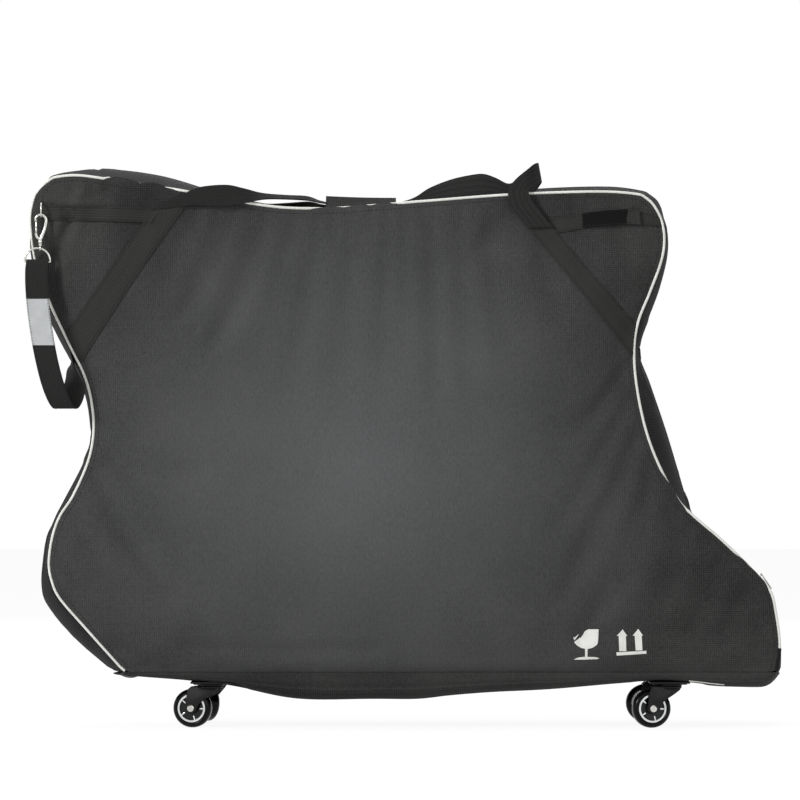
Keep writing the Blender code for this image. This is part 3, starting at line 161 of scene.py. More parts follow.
@dataclass(frozen=True)
class Finish:
    """A material by its common name, with the values that are the same all over it."""

    name: str
    slot: Slot
    colour: str
    roughness: float
    metallic: float = 0.0
    sheen: float = 0.0
    coat: float = 0.0
    specular: float = 0.5
    follows: Coordinates = Coordinates.OBJECT

    def material(self) -> bpy.types.Material:
        """Make the material, or find it if it's made already.

        Returns:
            The material.
        """
        found = bpy.data.materials.get(self.name)
        if found is not None:
            return found
        made = bpy.data.materials.new(self.name)
        made.use_nodes = True
        values = {"Base Color": linear(self.colour), "Roughness": self.roughness, "Metallic": self.metallic,
                  "Sheen Weight": self.sheen, "Coat Weight": self.coat, "Specular IOR Level": self.specular}
        for key, value in values.items():
            made.node_tree.nodes["Principled BSDF"].inputs[key].default_value = value
        self.dress(made.node_tree)
        return made

    def dress(self, tree: Tree) -> None:
        """Add this finish's pattern to its tree."""

    def feed(self, tree: Tree, name: str, pattern: Socket) -> None:
        """Link a pattern to one of the surface's inputs."""
        tree.links.new(pattern, tree.nodes["Principled BSDF"].inputs[name])

    def place(self, tree: Tree, scale: Sequence[float] = EVEN,
              move: Sequence[float] = (0.0, 0.0, 0.0)) -> Socket:
        """Give the coordinates that a pattern follows, moved and then stretched.

        Args:
            tree: the material's node tree.
            scale: what the coordinates are multiplied by.
            move: what is added to them first.

        Returns:
            The coordinates' socket.
        """
        result = add_node(tree, "ShaderNodeTexCoord").outputs[self.follows.value]
        for operation, amount in (("ADD", move), ("MULTIPLY", scale)):
            result = combine(tree, operation, result, amount, "ShaderNodeVectorMath")
        return result

    def threads(self, tree: Tree, axis: str, pitch: float, wander: float = 0.0,
                stretch: Sequence[float] = EVEN) -> Socket:
        """Bands across one axis, one to each thread pitch in metres."""
        values = {"Vector": self.place(tree, stretch), "Scale": WAVE_LENGTH / pitch, "Distortion": wander,
                  "Detail": 1.0, "Detail Scale": 1.5}
        return add_node(tree, "ShaderNodeTexWave", values, bands_direction=axis).outputs["Fac"]

    def cloud(self, tree: Tree, scale: float, stretch: Sequence[float] = EVEN, detail: float = 4.0) -> Socket:
        """Soft noise, with its scale in cycles to the metre."""
        values = {"Vector": self.place(tree, stretch), "Scale": scale, "Detail": detail}
        return add_node(tree, "ShaderNodeTexNoise", values).outputs["Fac"]

    def spread(self, tree: Tree, factor: Socket, low: float, high: float, start: float = 0.0,
               end: float = 1.0) -> Socket:
        """Map a factor from start..end to low..high."""
        return add_node(tree, "ShaderNodeMapRange", {0: factor, 1: start, 2: end, 3: low, 4: high}).outputs[0]

    def total(self, tree: Tree, *parts: Sequence) -> Socket:
        """Add up factors, each given with the range that it is mapped to.

        Args:
            tree: the material's node tree.
            parts: for each, the factor and then what spread takes.

        Returns:
            The sum's socket.
        """
        result, *others = [self.spread(tree, *part) for part in parts]
        for other in others:
            result = combine(tree, "ADD", result, other)
        return result

    def mix(self, tree: Tree, factor: Socket, low: Union[str, Socket], high: str) -> Socket:
        """Mix a hex colour, or a colour's socket, with a second hex colour by a factor."""
        values = {0: factor, 6: linear(low) if isinstance(low, str) else low, 7: linear(high)}
        return add_node(tree, "ShaderNodeMix", values, data_type="RGBA").outputs[2]

    def vary(self, tree: Tree, factor: Socket, low: str, high: str) -> None:
        """Colour the surface between two hex colours by a factor."""
        self.feed(tree, "Base Color", self.mix(tree, factor, low, high))

    def gloss(self, tree: Tree, factor: Socket, low: float, high: float, start: float = 0.3,
              end: float = 0.7) -> None:
        """Vary the roughness about this finish's own by a factor."""
        low, high = self.roughness + low, self.roughness + high
        self.feed(tree, "Roughness", self.spread(tree, factor, low, high, start, end))

    def bump(self, tree: Tree, height: Socket, depth: float, strength: float = 1.0) -> None:
        """Raise the surface by a height pattern that is depth metres from low to high."""
        node = add_node(tree, "ShaderNodeBump", {"Height": height, "Distance": depth, "Strength": strength})
        self.feed(tree, "Normal", node.outputs["Normal"])


def combine(tree: Tree, operation: str, first: Value, second: Value, kind: str = "ShaderNodeMath") -> Socket:
    """Join two values, vectors or sockets by one arithmetic operation."""
    return add_node(tree, kind, {0: first, 1: second}, operation=operation).outputs[0]


@dataclass(frozen=True)
class Canvas(Finish):
    """Coated polyester canvas: matt, with a plain weave and slubs that run up the bag.

    Real thread of this weight lies about 0.5 mm apart, which is finer than a pixel here, so the weave is
    drawn several times as coarse.
    """

    pitch: float = 3.4 * MM
    weft_axis: str = "Z"
    dark: str = "#2f2f2f"
    light: str = "#4a4a4b"
    # Painted highlight: a lighter colour spread round a centre on the panel, in place of light on its filled
    # middle.
    highlight_colour: str = "#5c5e60"
    highlight_centre: Sequence[float] = (0.080, 0.0, -0.42)
    highlight_size: float = 0.55
    highlight_share: float = 0.55
    slub_scale: float = 560.0
    patch_scale: float = 5.5

    def dress(self, tree: Tree) -> None:
        """Weave, slubs, patches of tone, and a painted highlight that lightens the middle.

        Args:
            tree: the material's node tree.
        """
        warp, weft = (self.threads(tree, axis, self.pitch, 1.6) for axis in ("X", self.weft_axis))
        weave = combine(tree, "MULTIPLY", warp, weft)
        along = (1.0, 1.0, 0.30) if self.weft_axis == "Z" else (1.0, 0.30, 1.0)
        slub = self.cloud(tree, self.slub_scale, along, 2.0)
        patch = self.cloud(tree, self.patch_scale)
        tone = self.total(tree, (weave, 0.0, 0.60), (slub, -0.05, 0.36, 0.3, 0.7),
                          (patch, -0.18, 0.34, 0.32, 0.68))
        cloth = self.mix(tree, tone, self.dark, self.light)
        # Painted highlight: the colour is mixed towards the lighter one in a ball round the centre, standing
        # in for light.
        if self.highlight_share:
            turn = 1 / self.highlight_size
            spot = self.place(tree, (turn, 0.0, turn), self.highlight_centre)
            highlight_ball = add_node(tree, "ShaderNodeTexGradient", {0: spot}, gradient_type="SPHERICAL")
            factor = combine(tree, "MULTIPLY", self.spread(tree, highlight_ball.outputs["Fac"], 0.0, self.highlight_share),
                             self.spread(tree, slub, 0.80, 1.08, 0.3, 0.7))
            cloth = self.mix(tree, factor, cloth, self.highlight_colour)
        self.feed(tree, "Base Color", cloth)
        self.gloss(tree, weave, 0.06, -0.06, 0.0, 1.0)
        self.bump(tree, combine(tree, "ADD", weave, combine(tree, "MULTIPLY", slub, 0.8)), 0.25 * MM, 0.55)


@dataclass(frozen=True)
class Webbing(Finish):
    """Woven nylon webbing: satin ribs along it and a herringbone of picks across."""

    pitch: float = 1.5 * MM
    yarn_pitch: float = 4.0 * MM
    dark: str = "#1a1a19"
    light: str = "#393937"

    def dress(self, tree: Tree) -> None:
        """Slanted picks and long yarns, with painted shade in the hollows between them.

        Args:
            tree: the material's node tree.
        """
        picks = self.threads(tree, "DIAGONAL", self.pitch, 0.6)
        yarns = self.threads(tree, "Y", self.yarn_pitch, 0.3)
        fuzz = self.cloud(tree, 900.0, (0.35, 1.0, 1.0), 2.0)
        weave = self.total(tree, (picks, 0.0, 0.34), (yarns, 0.0, 0.36))
        tone = combine(tree, "ADD", weave, self.spread(tree, fuzz, -0.05, 0.35, 0.3, 0.7))
        # Painted shade: the colour is darkest where the bump is lowest, between the picks and the yarns.
        self.vary(tree, tone, self.dark, self.light)
        self.bump(tree, weave, 0.35 * MM, 0.8)


@dataclass(frozen=True)
class Moulded(Finish):
    """Moulded plastic or rubber: even colour, a fine grain and slow lighter patches."""

    light: str = "#303032"
    grain: float = 900.0
    depth: float = 0.05 * MM

    def dress(self, tree: Tree) -> None:
        """A fine grain, and slow patches in colour and gloss.

        Args:
            tree: the material's node tree.
        """
        patch = self.cloud(tree, 60.0)
        self.vary(tree, self.spread(tree, patch, 0.0, 0.7, 0.35, 0.75), self.colour, self.light)
        self.gloss(tree, patch, -0.05, 0.08)
        self.bump(tree, self.cloud(tree, self.grain, detail=2.0), self.depth, 0.6)


@dataclass(frozen=True)
class Metal(Finish):
    """Plated, anodised or painted metal: drawn or brushed scratches and a cloudy gloss."""

    worn: str = "#ffffff"
    brushed: Sequence[float] = (1.0, 1.0, 1.0)
    scratch: float = 700.0
    depth: float = 0.02 * MM

    def dress(self, tree: Tree) -> None:
        """Scratches in the gloss, and slow patches of tone.

        Args:
            tree: the material's node tree.
        """
        lines = self.cloud(tree, self.scratch, self.brushed, 3.0)
        patch = self.cloud(tree, 45.0)
        self.vary(tree, self.spread(tree, patch, 0.0, 0.8, 0.4, 0.75), self.colour, self.worn)
        self.gloss(tree, lines, -0.05, 0.10)
        self.bump(tree, lines, self.depth, 0.4)


@dataclass(frozen=True)
class Plied(Finish):
    """A covering wrapped or rolled round a core: shallow creases across it and a little dirt."""

    low: str = "#d3d2cb"
    ply: float = 2.6 * MM

    def dress(self, tree: Tree) -> None:
        """Creases across the piping, painted darker in their hollows as shade, and patches of dirt.

        Args:
            tree: the material's node tree.
        """
        creases = self.threads(tree, "X", self.ply, 2.5)
        tone = self.total(tree, (self.cloud(tree, 30.0), -0.2, 0.5, 0.35, 0.7), (creases, 0.3, 0.6))
        # Painted shade: the crease hollows are coloured darker; the cloud gives the dirt.
        self.vary(tree, tone, self.low, self.colour)
        self.bump(tree, creases, 0.15 * MM, 0.5)


@dataclass(frozen=True)
class Beaded(Finish):
    """Reflective tape: a grey film over fine beads, pressed in a small diamond pattern."""

    low: str = "#a9abad"
    press: float = 3.0 * MM

    def dress(self, tree: Tree) -> None:
        """A diamond press and a few scuffs.

        Args:
            tree: the material's node tree.
        """
        turns = EVEN, (1.0, -1.0, 1.0)
        slants = (self.threads(tree, "DIAGONAL", self.press, stretch=turn) for turn in turns)
        press = combine(tree, "MINIMUM", *slants)
        tone = self.total(tree, (press, 0.36, 0.56), (self.cloud(tree, 45.0), -0.2, 0.36, 0.3, 0.7))
        self.vary(tree, tone, self.low, self.colour)
        self.bump(tree, press, 0.04 * MM, 0.5)


@dataclass(frozen=True)
class Pile(Finish):
    """Hook-and-loop tape: a deep matt pile of tiny hooks."""

    light: str = "#1d1d1c"
    row: float = 1.5 * MM

    def dress(self, tree: Tree) -> None:
        """A fine, rough pile in rows.

        Args:
            tree: the material's node tree.
        """
        fuzz = self.cloud(tree, 1100.0, detail=2.0)
        rows = self.threads(tree, "X", self.row, 2.0)
        self.vary(tree, combine(tree, "MULTIPLY", fuzz, rows), self.colour, self.light)
        self.bump(tree, combine(tree, "ADD", fuzz, rows), 0.6 * MM)


# Polyester canvas with a matt coating: charcoal, weave and slubs show as a fine speckle, with a painted
# highlight that colours the filled middle lighter. It gives the eye the size and the softness of the sides.
CANVAS = Canvas("polyester_canvas", Slot.FABRIC, "#363636", 0.86, sheen=0.04, specular=0.12,
                dark="#262626", light="#474746", highlight_colour="#636465", highlight_share=0.80)
# The same canvas on the gusset, its colours painted darker as shade for a side turned away from the light,
# and without the painted highlight, so it reads almost black.
GUSSET_CANVAS = Canvas("polyester_canvas_gusset", Slot.FABRIC, "#252525", 0.88, sheen=0.03, specular=0.10,
                       follows=Coordinates.SHEET, weft_axis="Y", dark="#0f0f0f", light="#222222",
                       highlight_share=0.0)
# The same canvas on the grip's flap: as light as the panel, since it faces the same way.
FLAP_CANVAS = Canvas("polyester_canvas_flap", Slot.FABRIC, "#363636", 0.86, specular=0.12,
                     follows=Coordinates.SHEET, weft_axis="Y", dark="#242424", light="#464645", highlight_share=0.0)
# Coated nylon lining: smoother than the canvas, with a wide soft weave, seen inside when a side is down.
LINING = Canvas("coated_lining", Slot.FABRIC, "#232427", 0.62, specular=0.3, pitch=6.0 * MM,
                dark="#1c1d1f", light="#2d2e31", highlight_share=0.0)
# Canvas over a stiff board: the flattest cloth of the bag.
TRAY_CANVAS = Canvas("stiffened_canvas", Slot.TRAY, "#343434", 0.88, specular=0.10, weft_axis="Y",
                     dark="#272727", light="#474746", highlight_share=0.0)
# Nylon webbing, 2 mm thick: satin ribs and slanted picks catch thin lights along the dark bands.
WEB = Webbing("nylon_webbing", Slot.WEBBING, "#2a2926", 0.74, sheen=0.06, specular=0.16,
              follows=Coordinates.SHEET)
# The handle's webbing: the same nylon, blacker where hands have not dusted it with the panel's grey.
HANDLE_WEB = Webbing("handle_webbing", Slot.WEBBING, "#1d1d1c", 0.72, sheen=0.04, specular=0.16,
                     follows=Coordinates.SHEET, dark="#111111", light="#292928")
# Narrow woven binding: denser and duller than the webbing, it outlines the base and the rear foot.
BINDING = Webbing("woven_binding", Slot.WEBBING, "#191918", 0.84, specular=0.12, follows=Coordinates.SHEET,
                  dark="#121211", light="#262624")
# Bonded nylon thread, drawn about twice as thick as the real 0.5 mm so that a stitch shows in a pixel.
THREAD = Moulded("bonded_thread", Slot.WEBBING, "#141413", 0.55, specular=0.3, light="#2c2b27")
# Vinyl-covered piping: off-white and slightly glossy, with small creases and dirt from handling.
PIPING = Plied("coated_piping", Slot.PIPING, "#efefeb", 0.48, coat=0.08, follows=Coordinates.SHEET)
# Reflective tape: a grey film over fine glass beads that glows evenly wherever light meets it.
REFLECTIVE = Beaded("reflective_tape", Slot.PIPING, "#c3c5c6", 0.42, specular=0.3, follows=Coordinates.SHEET)
# Hook-and-loop tape: a deep matt pile of nylon hooks that swallows the light.
HOOKS = Pile("hook_and_loop", Slot.WEBBING, "#101010", 0.95, specular=0.1, sheen=0.05,
             follows=Coordinates.SHEET)
# Screen-printing ink: a thin white film, dulled by the weave under it.
PRINT = Moulded("printed_ink", Slot.PIPING, "#eeeeea", 0.66, specular=0.2, light="#d8d8d4", grain=500.0)
# Nylon zip coil: small satin teeth that sparkle along the crown.
COIL = Moulded("zip_nylon", Slot.ZIP, "#111112", 0.42, specular=0.35, light="#232325")
# Woven zip tape: fine, flat and darker than the canvas beside it.
ZIP_TAPE = Webbing("zip_tape", Slot.ZIP, "#151515", 0.84, specular=0.12, follows=Coordinates.SHEET,
                   pitch=1.2 * MM, dark="#0e0e0e", light="#202020")
# Nickel plate over cast zinc and drawn wire: mirror-bright with soft scratches, the only shine up front.
CHROME = Metal("nickel_plate", Slot.BRIGHT, "#cfcec9", 0.16, metallic=1.0, worn="#aeaca5")
# Dark anodised aluminium: satin, brushed along its length.
ALLOY = Metal("anodised_aluminium", Slot.FRAME, "#2a2b2d", 0.42, metallic=0.75, worn="#3a3b3e",
              brushed=(0.05, 1.0, 1.0))
# Black powder-painted steel: near black, with a low broken gloss on its pressed edges.
STEEL = Metal("painted_steel", Slot.STEEL, "#0a0a0b", 0.36, worn="#141416", scratch=260.0, specular=0.22)
# Polyurethane tread: black and smooth, with a clear highlight round its shoulder.
TYRE = Moulded("polyurethane_tyre", Slot.TYRE, "#060606", 0.20, light="#0d0d0e", specular=0.12, grain=300.0)
# Moulded wheel core: glossy dark nylon that shows between the bright spokes.
CORE = Moulded("moulded_wheel_core", Slot.RIM, "#0b0c0d", 0.18, specular=0.28, light="#17181a")
# Zinc-plated pressed ring: bright and slightly hazy, it marks the turning wheel.
BRIGHT_RIM = Metal("bright_wheel_ring", Slot.RIM, "#d9dadb", 0.22, metallic=0.9, worn="#c2c3c4")
# Moulded nylon skid: half matt, with scattered lighter scuffs.
FOOT = Moulded("moulded_nylon", Slot.FOOT, "#131314", 0.50, specular=0.3, light="#232324", grain=600.0,
               depth=0.2 * MM)


def clamp(value: float, low: float = 0.0, high: float = 1.0) -> float:
    """Keep a value between two limits."""
    return min(max(value, low), high)


def deselect() -> None:
    """Leave nothing selected, as every operator step starts."""
    if bpy.context.object is not None and bpy.context.object.mode != "OBJECT":
        bpy.ops.object.mode_set(mode="OBJECT")
    bpy.ops.object.select_all(action="DESELECT")


def pick(obj: Piece) -> None:
    """Select one object alone and make it active.

    Args:
        obj: the piece.
    """
    deselect()
    obj.select_set(True)
    bpy.context.view_layer.objects.active = obj


@contextmanager
def edit_mode(obj: Piece) -> Iterator[None]:
    """Open a piece in edit mode with its whole mesh selected, and leave edit mode afterwards.

    Args:
        obj: the piece.

    Returns:
        A context in which the piece is in edit mode.
    """
    pick(obj)
    bpy.ops.object.mode_set(mode="EDIT")
    bpy.ops.mesh.select_all(action="SELECT")
    yield
    bpy.ops.object.mode_set(mode="OBJECT")


@contextmanager
def opened(obj: Piece) -> Iterator[BMesh]:
    """Give a piece's mesh as a bmesh, and write it back afterwards.

    Args:
        obj: the piece.

    Returns:
        A context that holds its mesh as a bmesh.
    """
    work = bmesh.new()
    work.from_mesh(obj.data)
    yield work
    work.to_mesh(obj.data)
    work.free()


def rim(obj: Piece) -> list[int]:
    """The vertices on a sheet's open border."""
    with opened(obj) as work:
        return [vert.index for vert in work.verts if vert.is_boundary]


def modify(obj: Piece, kind: str, **settings) -> Piece:
    """Put a modifier on a piece with its settings, and apply it.

    Args:
        obj: the piece.
        kind: the modifier's type.
        settings: the modifier's own properties.

    Returns:
        The same piece.
    """
    change = obj.modifiers.new(kind.lower(), kind)
    for key, value in settings.items():
        setattr(change, key, value)
    pick(obj)
    bpy.ops.object.modifier_apply(modifier=change.name)
    return obj


def thicken(obj: Piece, thickness: float, offset: float = 0.0, **settings) -> Piece:
    """Give a sheet its thickness, on both sides of it or all on one."""
    return modify(obj, "SOLIDIFY", thickness=thickness, offset=offset, **settings)


def round_edges(obj: Piece, width: float, angle: float, segments: int = 2) -> Piece:
    """Round the edges that are sharper than an angle in degrees."""
    return modify(obj, "BEVEL", width=width, segments=segments, limit_method="ANGLE",
                  angle_limit=math.radians(angle))


def in_scene(name: str, data: bpy.types.ID) -> Piece:
    """Put a mesh, a light or a camera into the scene.

    Args:
        name: the new object's name.
        data: its mesh, light or camera.

    Returns:
        The new object.
    """
    obj = bpy.data.objects.new(name, data)
    bpy.context.collection.objects.link(obj)
    return obj


def drawn(name: str, work: BMesh) -> Piece:
    """Turn a finished bmesh into a piece.

    Args:
        name: the piece's name.
        work: the bmesh, which is freed here.

    Returns:
        The new piece.
    """
    mesh = bpy.data.meshes.new(name)
    work.to_mesh(mesh)
    work.free()
    return in_scene(name, mesh)


def plotted(name: str, points: Sequence[Vector], edges: Sequence, faces: Sequence) -> Piece:
    """A piece from bare points and the edges or faces between them.

    Args:
        name: the piece's name.
        points: where its vertices lie.
        edges: pairs of vertex indices, or none.
        faces: loops of vertex indices, or none.

    Returns:
        The new piece.
    """
    mesh = bpy.data.meshes.new(name)
    mesh.from_pydata(points, edges, faces)
    return in_scene(name, mesh)


def bridge(work: BMesh, rings: Sequence[Sequence[bmesh.types.BMVert]]) -> None:
    """Join rings of vertices by faces, and close both ends.

    Args:
        work: the bmesh that the faces go into.
        rings: rings with the same number of vertices.
    """
    for low, high in zip(rings, rings[1:]):
        for step, after in enumerate([*range(1, len(low)), 0]):
            work.faces.new((low[step], low[after], high[after], high[step]))
    work.faces.new(list(reversed(rings[0])))
    work.faces.new(rings[-1])


def finish(obj: Piece, look: Finish, body: str, replaces: Sequence[str] = (),
           extra: Sequence[Finish] = ()) -> Piece:
    """Give a piece its material, its body and the CAD nodes that it stands for.

    Args:
        obj: the finished piece.
        look: its main finish.
        body: the CAD body that it rides on.
        replaces: the CAD nodes that it stands for.
        extra: further finishes, for material indices from 1.

    Returns:
        The piece.
    """
    obj.data.materials.clear()
    for part in (look, *extra):
        obj.data.materials.append(part.material())
    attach(obj, body)
    if replaces:
        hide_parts(*replaces)
    LOG.info("%s: %d faces on %s", obj.name, len(obj.data.polygons), body)
    return obj


def smooth(obj: Piece, angle: float = 35.0) -> Piece:
    """Shade a piece smooth, apart from edges sharper than the angle in degrees.

    Args:
        obj: the piece.
        angle: the sharpest angle that is still smoothed.

    Returns:
        The same piece.
    """
    pick(obj)
    bpy.ops.object.shade_smooth_by_angle(angle=math.radians(angle))
    return obj


def grid(name: str, columns: int, rows: int, place: Place, metres: Sequence[float]) -> Piece:
    """Add a grid and lay it along a surface, with its UV map in metres.

    Args:
        name: the piece's name.
        columns: cells along the first share.
        rows: cells along the second share.
        place: gives the point at two shares from 0 to 1.
        metres: the sheet's length and width.

    Returns:
        The sheet's object.
    """
    deselect()
    bpy.ops.mesh.primitive_grid_add(x_subdivisions=columns, y_subdivisions=rows, size=1.0, calc_uvs=True)
    obj = bpy.context.object
    obj.name = obj.data.name = name
    mesh = obj.data
    shares = [(vert.co.x + 0.5, vert.co.y + 0.5) for vert in mesh.vertices]
    coords = mesh.uv_layers.active.data
    for loop in mesh.loops:
        first, second = shares[loop.vertex_index]
        coords[loop.index].uv = (first * metres[0], second * metres[1])
    for vert, (first, second) in zip(mesh.vertices, shares):
        vert.co = place(clamp(first), clamp(second))
    return obj


def tidy_edit(obj: Piece, fill: bool = False) -> Piece:
    """Merge a mesh's doubles, close its holes if asked, and turn its faces outwards.

    Args:
        obj: the piece.
        fill: whether its holes are closed.

    Returns:
        The same piece.
    """
    with edit_mode(obj):
        bpy.ops.mesh.remove_doubles(threshold=MERGE)
        if fill:
            bpy.ops.mesh.select_all(action="DESELECT")
            bpy.ops.mesh.select_non_manifold()
            bpy.ops.mesh.edge_face_add()
            bpy.ops.mesh.select_all(action="SELECT")
        bpy.ops.mesh.normals_make_consistent(inside=False)
    return obj


def curve_through(points: Sequence[Vector], steps: int, closed: bool = False) -> list[Vector]:
    """Catmull-Rom curve through points, with the same number of steps in each span.

    Args:
        points: what the curve passes through.
        steps: steps to a span.
        closed: whether it joins up.

    Returns:
        The dense points, with the last one kept where the curve is open.
    """
    points = [Vector(point) for point in points]
    if closed:
        ends = [points[-1]] + points + points[:2]
    else:
        ends = [2 * points[0] - points[1]] + points + [2 * points[-1] - points[-2]]
    dense = []
    for p0, p1, p2, p3 in zip(ends, ends[1:], ends[2:], ends[3:]):
        for step in range(steps):
            t = step / steps
            dense.append(0.5 * (2 * p1 + (p2 - p0) * t + (2 * p0 - 5 * p1 + 4 * p2 - p3) * t * t
                                + (3 * p1 - p0 - 3 * p2 + p3) * t ** 3))
    return dense if closed else dense + [points[-1]]


def even_places(lengths: Sequence[float], count: int) -> Iterator[tuple[int, float]]:
    """Even steps along running lengths, each as a span's index and the share of the way along it.

    Args:
        lengths: the running length at each point.
        count: how many steps.

    Returns:
        A span's index and a share for each step's end.
    """
    at = 0
    for index in range(count + 1):
        target = lengths[-1] * index / count
        while at < len(lengths) - 2 and lengths[at + 1] < target:
            at += 1
        yield at, (target - lengths[at]) / max(lengths[at + 1] - lengths[at], 1e-9)


def even_curve(points: Sequence[Vector], count: int, turn_length: float = 0.0) -> list[Vector]:
    """Read a curve through points at even steps, counting turning as length where a turn length is given.

    Args:
        points: what the curve passes through.
        count: how many steps.
        turn_length: the length that a radian of turning counts for.

    Returns:
        The points at the steps' ends.
    """
    dense = curve_through(points, 12)
    lengths = [0.0]
    heading = dense[1] - dense[0]
    for first, second in zip(dense, dense[1:]):
        turning = heading.angle(second - first) if turn_length else 0.0
        heading = second - first
        lengths.append(lengths[-1] + heading.length + turn_length * turning)
    return [dense[at].lerp(dense[at + 1], share) for at, share in even_places(lengths, count)]


def path_length(points: Sequence[Vector]) -> float:
    """The length of a line of points."""
    return sum((second - first).length for first, second in zip(points, points[1:]))


def lookup(points: Sequence[Vector]) -> KDTree:
    """A tree that finds the nearest of some (x, z) points.

    Args:
        points: the (x, z) points.

    Returns:
        The tree, which gives a point's index too.
    """
    tree = KDTree(len(points))
    for index, point in enumerate(points):
        tree.insert((*point, 0.0), index)
    tree.balance()
    return tree


def frames_along(route: Sequence[Vector], closed: bool = False) -> list[tuple[Vector, Vector]]:
    """Two directions square to a route at each of its points, turned as little as possible between them.

    Args:
        route: the points of the route.
        closed: whether it joins up.

    Returns:
        The two directions for each point.
    """
    result = []
    across = None
    for index, point in enumerate(route):
        before = route[index - 1] if index or closed else point
        after = route[(index + 1) % len(route)] if index + 1 < len(route) or closed else point
        along = (after - before).normalized()
        across = along.orthogonal() if across is None else across
        across = (across - across.dot(along) * along).normalized()
        result.append((across, along.cross(across)))
    return result


def wire(name: str, route: Sequence[Vector], radius: Union[float, Sequence[float]], sides: int = 14,
         closed: bool = False) -> Piece:
    """A round wire along a route, from a grid rolled round it.

    Args:
        name: the piece's name.
        route: the middle of the wire.
        radius: one radius, or one for each point.
        sides: faces round it.
        closed: whether it joins up.

    Returns:
        The wire's object.
    """
    route = [Vector(point) for point in route]
    radii = list(radius) if isinstance(radius, (list, tuple)) else [radius] * len(route)
    frames = frames_along(route, closed)
    if closed:
        twist = frames[0][0].angle(frames[-1][0]) * (1 if frames[0][0].dot(frames[-1][1]) > 0 else -1)
        route, radii, frames = [*route, route[0]], [*radii, radii[0]], [*frames, frames[0]]
    else:
        twist = 0.0
    count = len(route) - 1

    def place(share: float, around: float) -> Vector:
        """A point of the wire's surface.

        Args:
            share: the share of the length.
            around: the share of the way round.

        Returns:
            The point.
        """
        index = min(int(share * count + 0.5), count)
        across, beside = frames[index]
        last = closed and index == count
        angle = 2 * math.pi * around + (0.0 if last else twist * share)
        return route[index] + radii[index] * (math.cos(angle) * across + math.sin(angle) * beside)

    obj = grid(name, count, sides, place, (path_length(route), 2 * math.pi * max(radii)))
    return smooth(tidy_edit(obj, fill=not closed), 50.0)


def turned(name: str, profile: Line, axis_at: Vector, axis: Vector,
           steps: int = 48) -> Piece:
    """Spin a profile of (along, radius) points about an axis into a closed shape.

    Args:
        name: the piece's name.
        profile: an open profile that starts and ends on the axis, or a closed one that stays off it.
        axis_at: a point on the axis.
        axis: the axis's direction.
        steps: steps round it.

    Returns:
        The turned object.
    """
    axis = axis.normalized()
    out = axis.orthogonal().normalized()
    points = [axis_at + along * axis + radius * out for along, radius in profile]
    edges = [(index, index + 1) for index in range(len(points) - 1)]
    if min(profile[0][1], profile[-1][1]) > 1e-6:
        edges.append((len(points) - 1, 0))
    obj = plotted(name, points, edges, [])
    with edit_mode(obj):
        bpy.ops.mesh.spin(steps=steps, angle=2 * math.pi, center=axis_at, axis=axis)
    return smooth(tidy_edit(obj), 32.0)


def block(name: str, low: Sequence[float], high: Sequence[float], rounding: float,
          segments: int = 3) -> Piece:
    """A box between two corners with every edge rounded.

    Args:
        name: the piece's name.
        low: the corner with the lowest values.
        high: the corner with the highest values.
        rounding: the width of the rounded edges.
        segments: steps across a rounded edge.

    Returns:
        The box.
    """
    deselect()
    bpy.ops.mesh.primitive_cube_add(size=1.0, location=[(a + b) / 2 for a, b in zip(low, high)])
    obj = bpy.context.object
    obj.name = obj.data.name = name
    obj.scale = [b - a for a, b in zip(low, high)]
    bpy.ops.object.transform_apply(location=True, rotation=True, scale=True)
    with edit_mode(obj):
        bpy.ops.mesh.bevel(offset=rounding, segments=segments, affect="EDGES")
    return smooth(obj)


def slab(name: str, outline: Sequence[Vector], thickness: Vector, rounding: float) -> Piece:
    """A flat outline extruded by a vector, with its edges rounded.

    Args:
        name: the piece's name.
        outline: the corners of the flat shape.
        thickness: how far and which way it is extruded.
        rounding: the width of the rounded edges.

    Returns:
        The slab.
    """
    obj = plotted(name, outline, [], [tuple(range(len(outline)))])
    with edit_mode(obj):
        bpy.ops.mesh.extrude_region_move(TRANSFORM_OT_translate={"value": thickness})
        bpy.ops.mesh.select_all(action="SELECT")
        bpy.ops.mesh.normals_make_consistent(inside=False)
    return smooth(round_edges(obj, rounding, 40))


def join(name: str, parts: Sequence[Piece]) -> Piece:
    """Join parts of one material into one piece.

    Args:
        name: the joined piece's name.
        parts: the pieces, which become one.

    Returns:
        The joined piece.
    """
    deselect()
    for part in parts:
        part.select_set(True)
    bpy.context.view_layer.objects.active = parts[0]
    bpy.ops.object.join()
    obj = bpy.context.object
    obj.name = obj.data.name = name
    return obj


def cut(piece: Piece, tool: Piece) -> None:
    """Cut a tool out of a piece, and throw the tool away."""
    modify(piece, "BOOLEAN", operation="DIFFERENCE", solver="EXACT", object=tool)
    bpy.data.objects.remove(tool, do_unlink=True)


def smoothed_copy(node: str, rounding: float, segments: int = 2) -> Piece:
    """A copy of a CAD solid with flat faces merged and its edges rounded, in the same place.

    Args:
        node: the CAD node's name.
        rounding: the width of the rounded edges.
        segments: steps across a rounded edge.

    Returns:
        The copy.
    """
    obj = in_scene(f"{node}_dressed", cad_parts[node].data.copy())
    obj.data.materials.clear()
    tidy_edit(obj)
    with edit_mode(obj):
        bpy.ops.mesh.dissolve_limited(angle_limit=math.radians(1.0))
    return smooth(round_edges(obj, rounding, 35, segments))


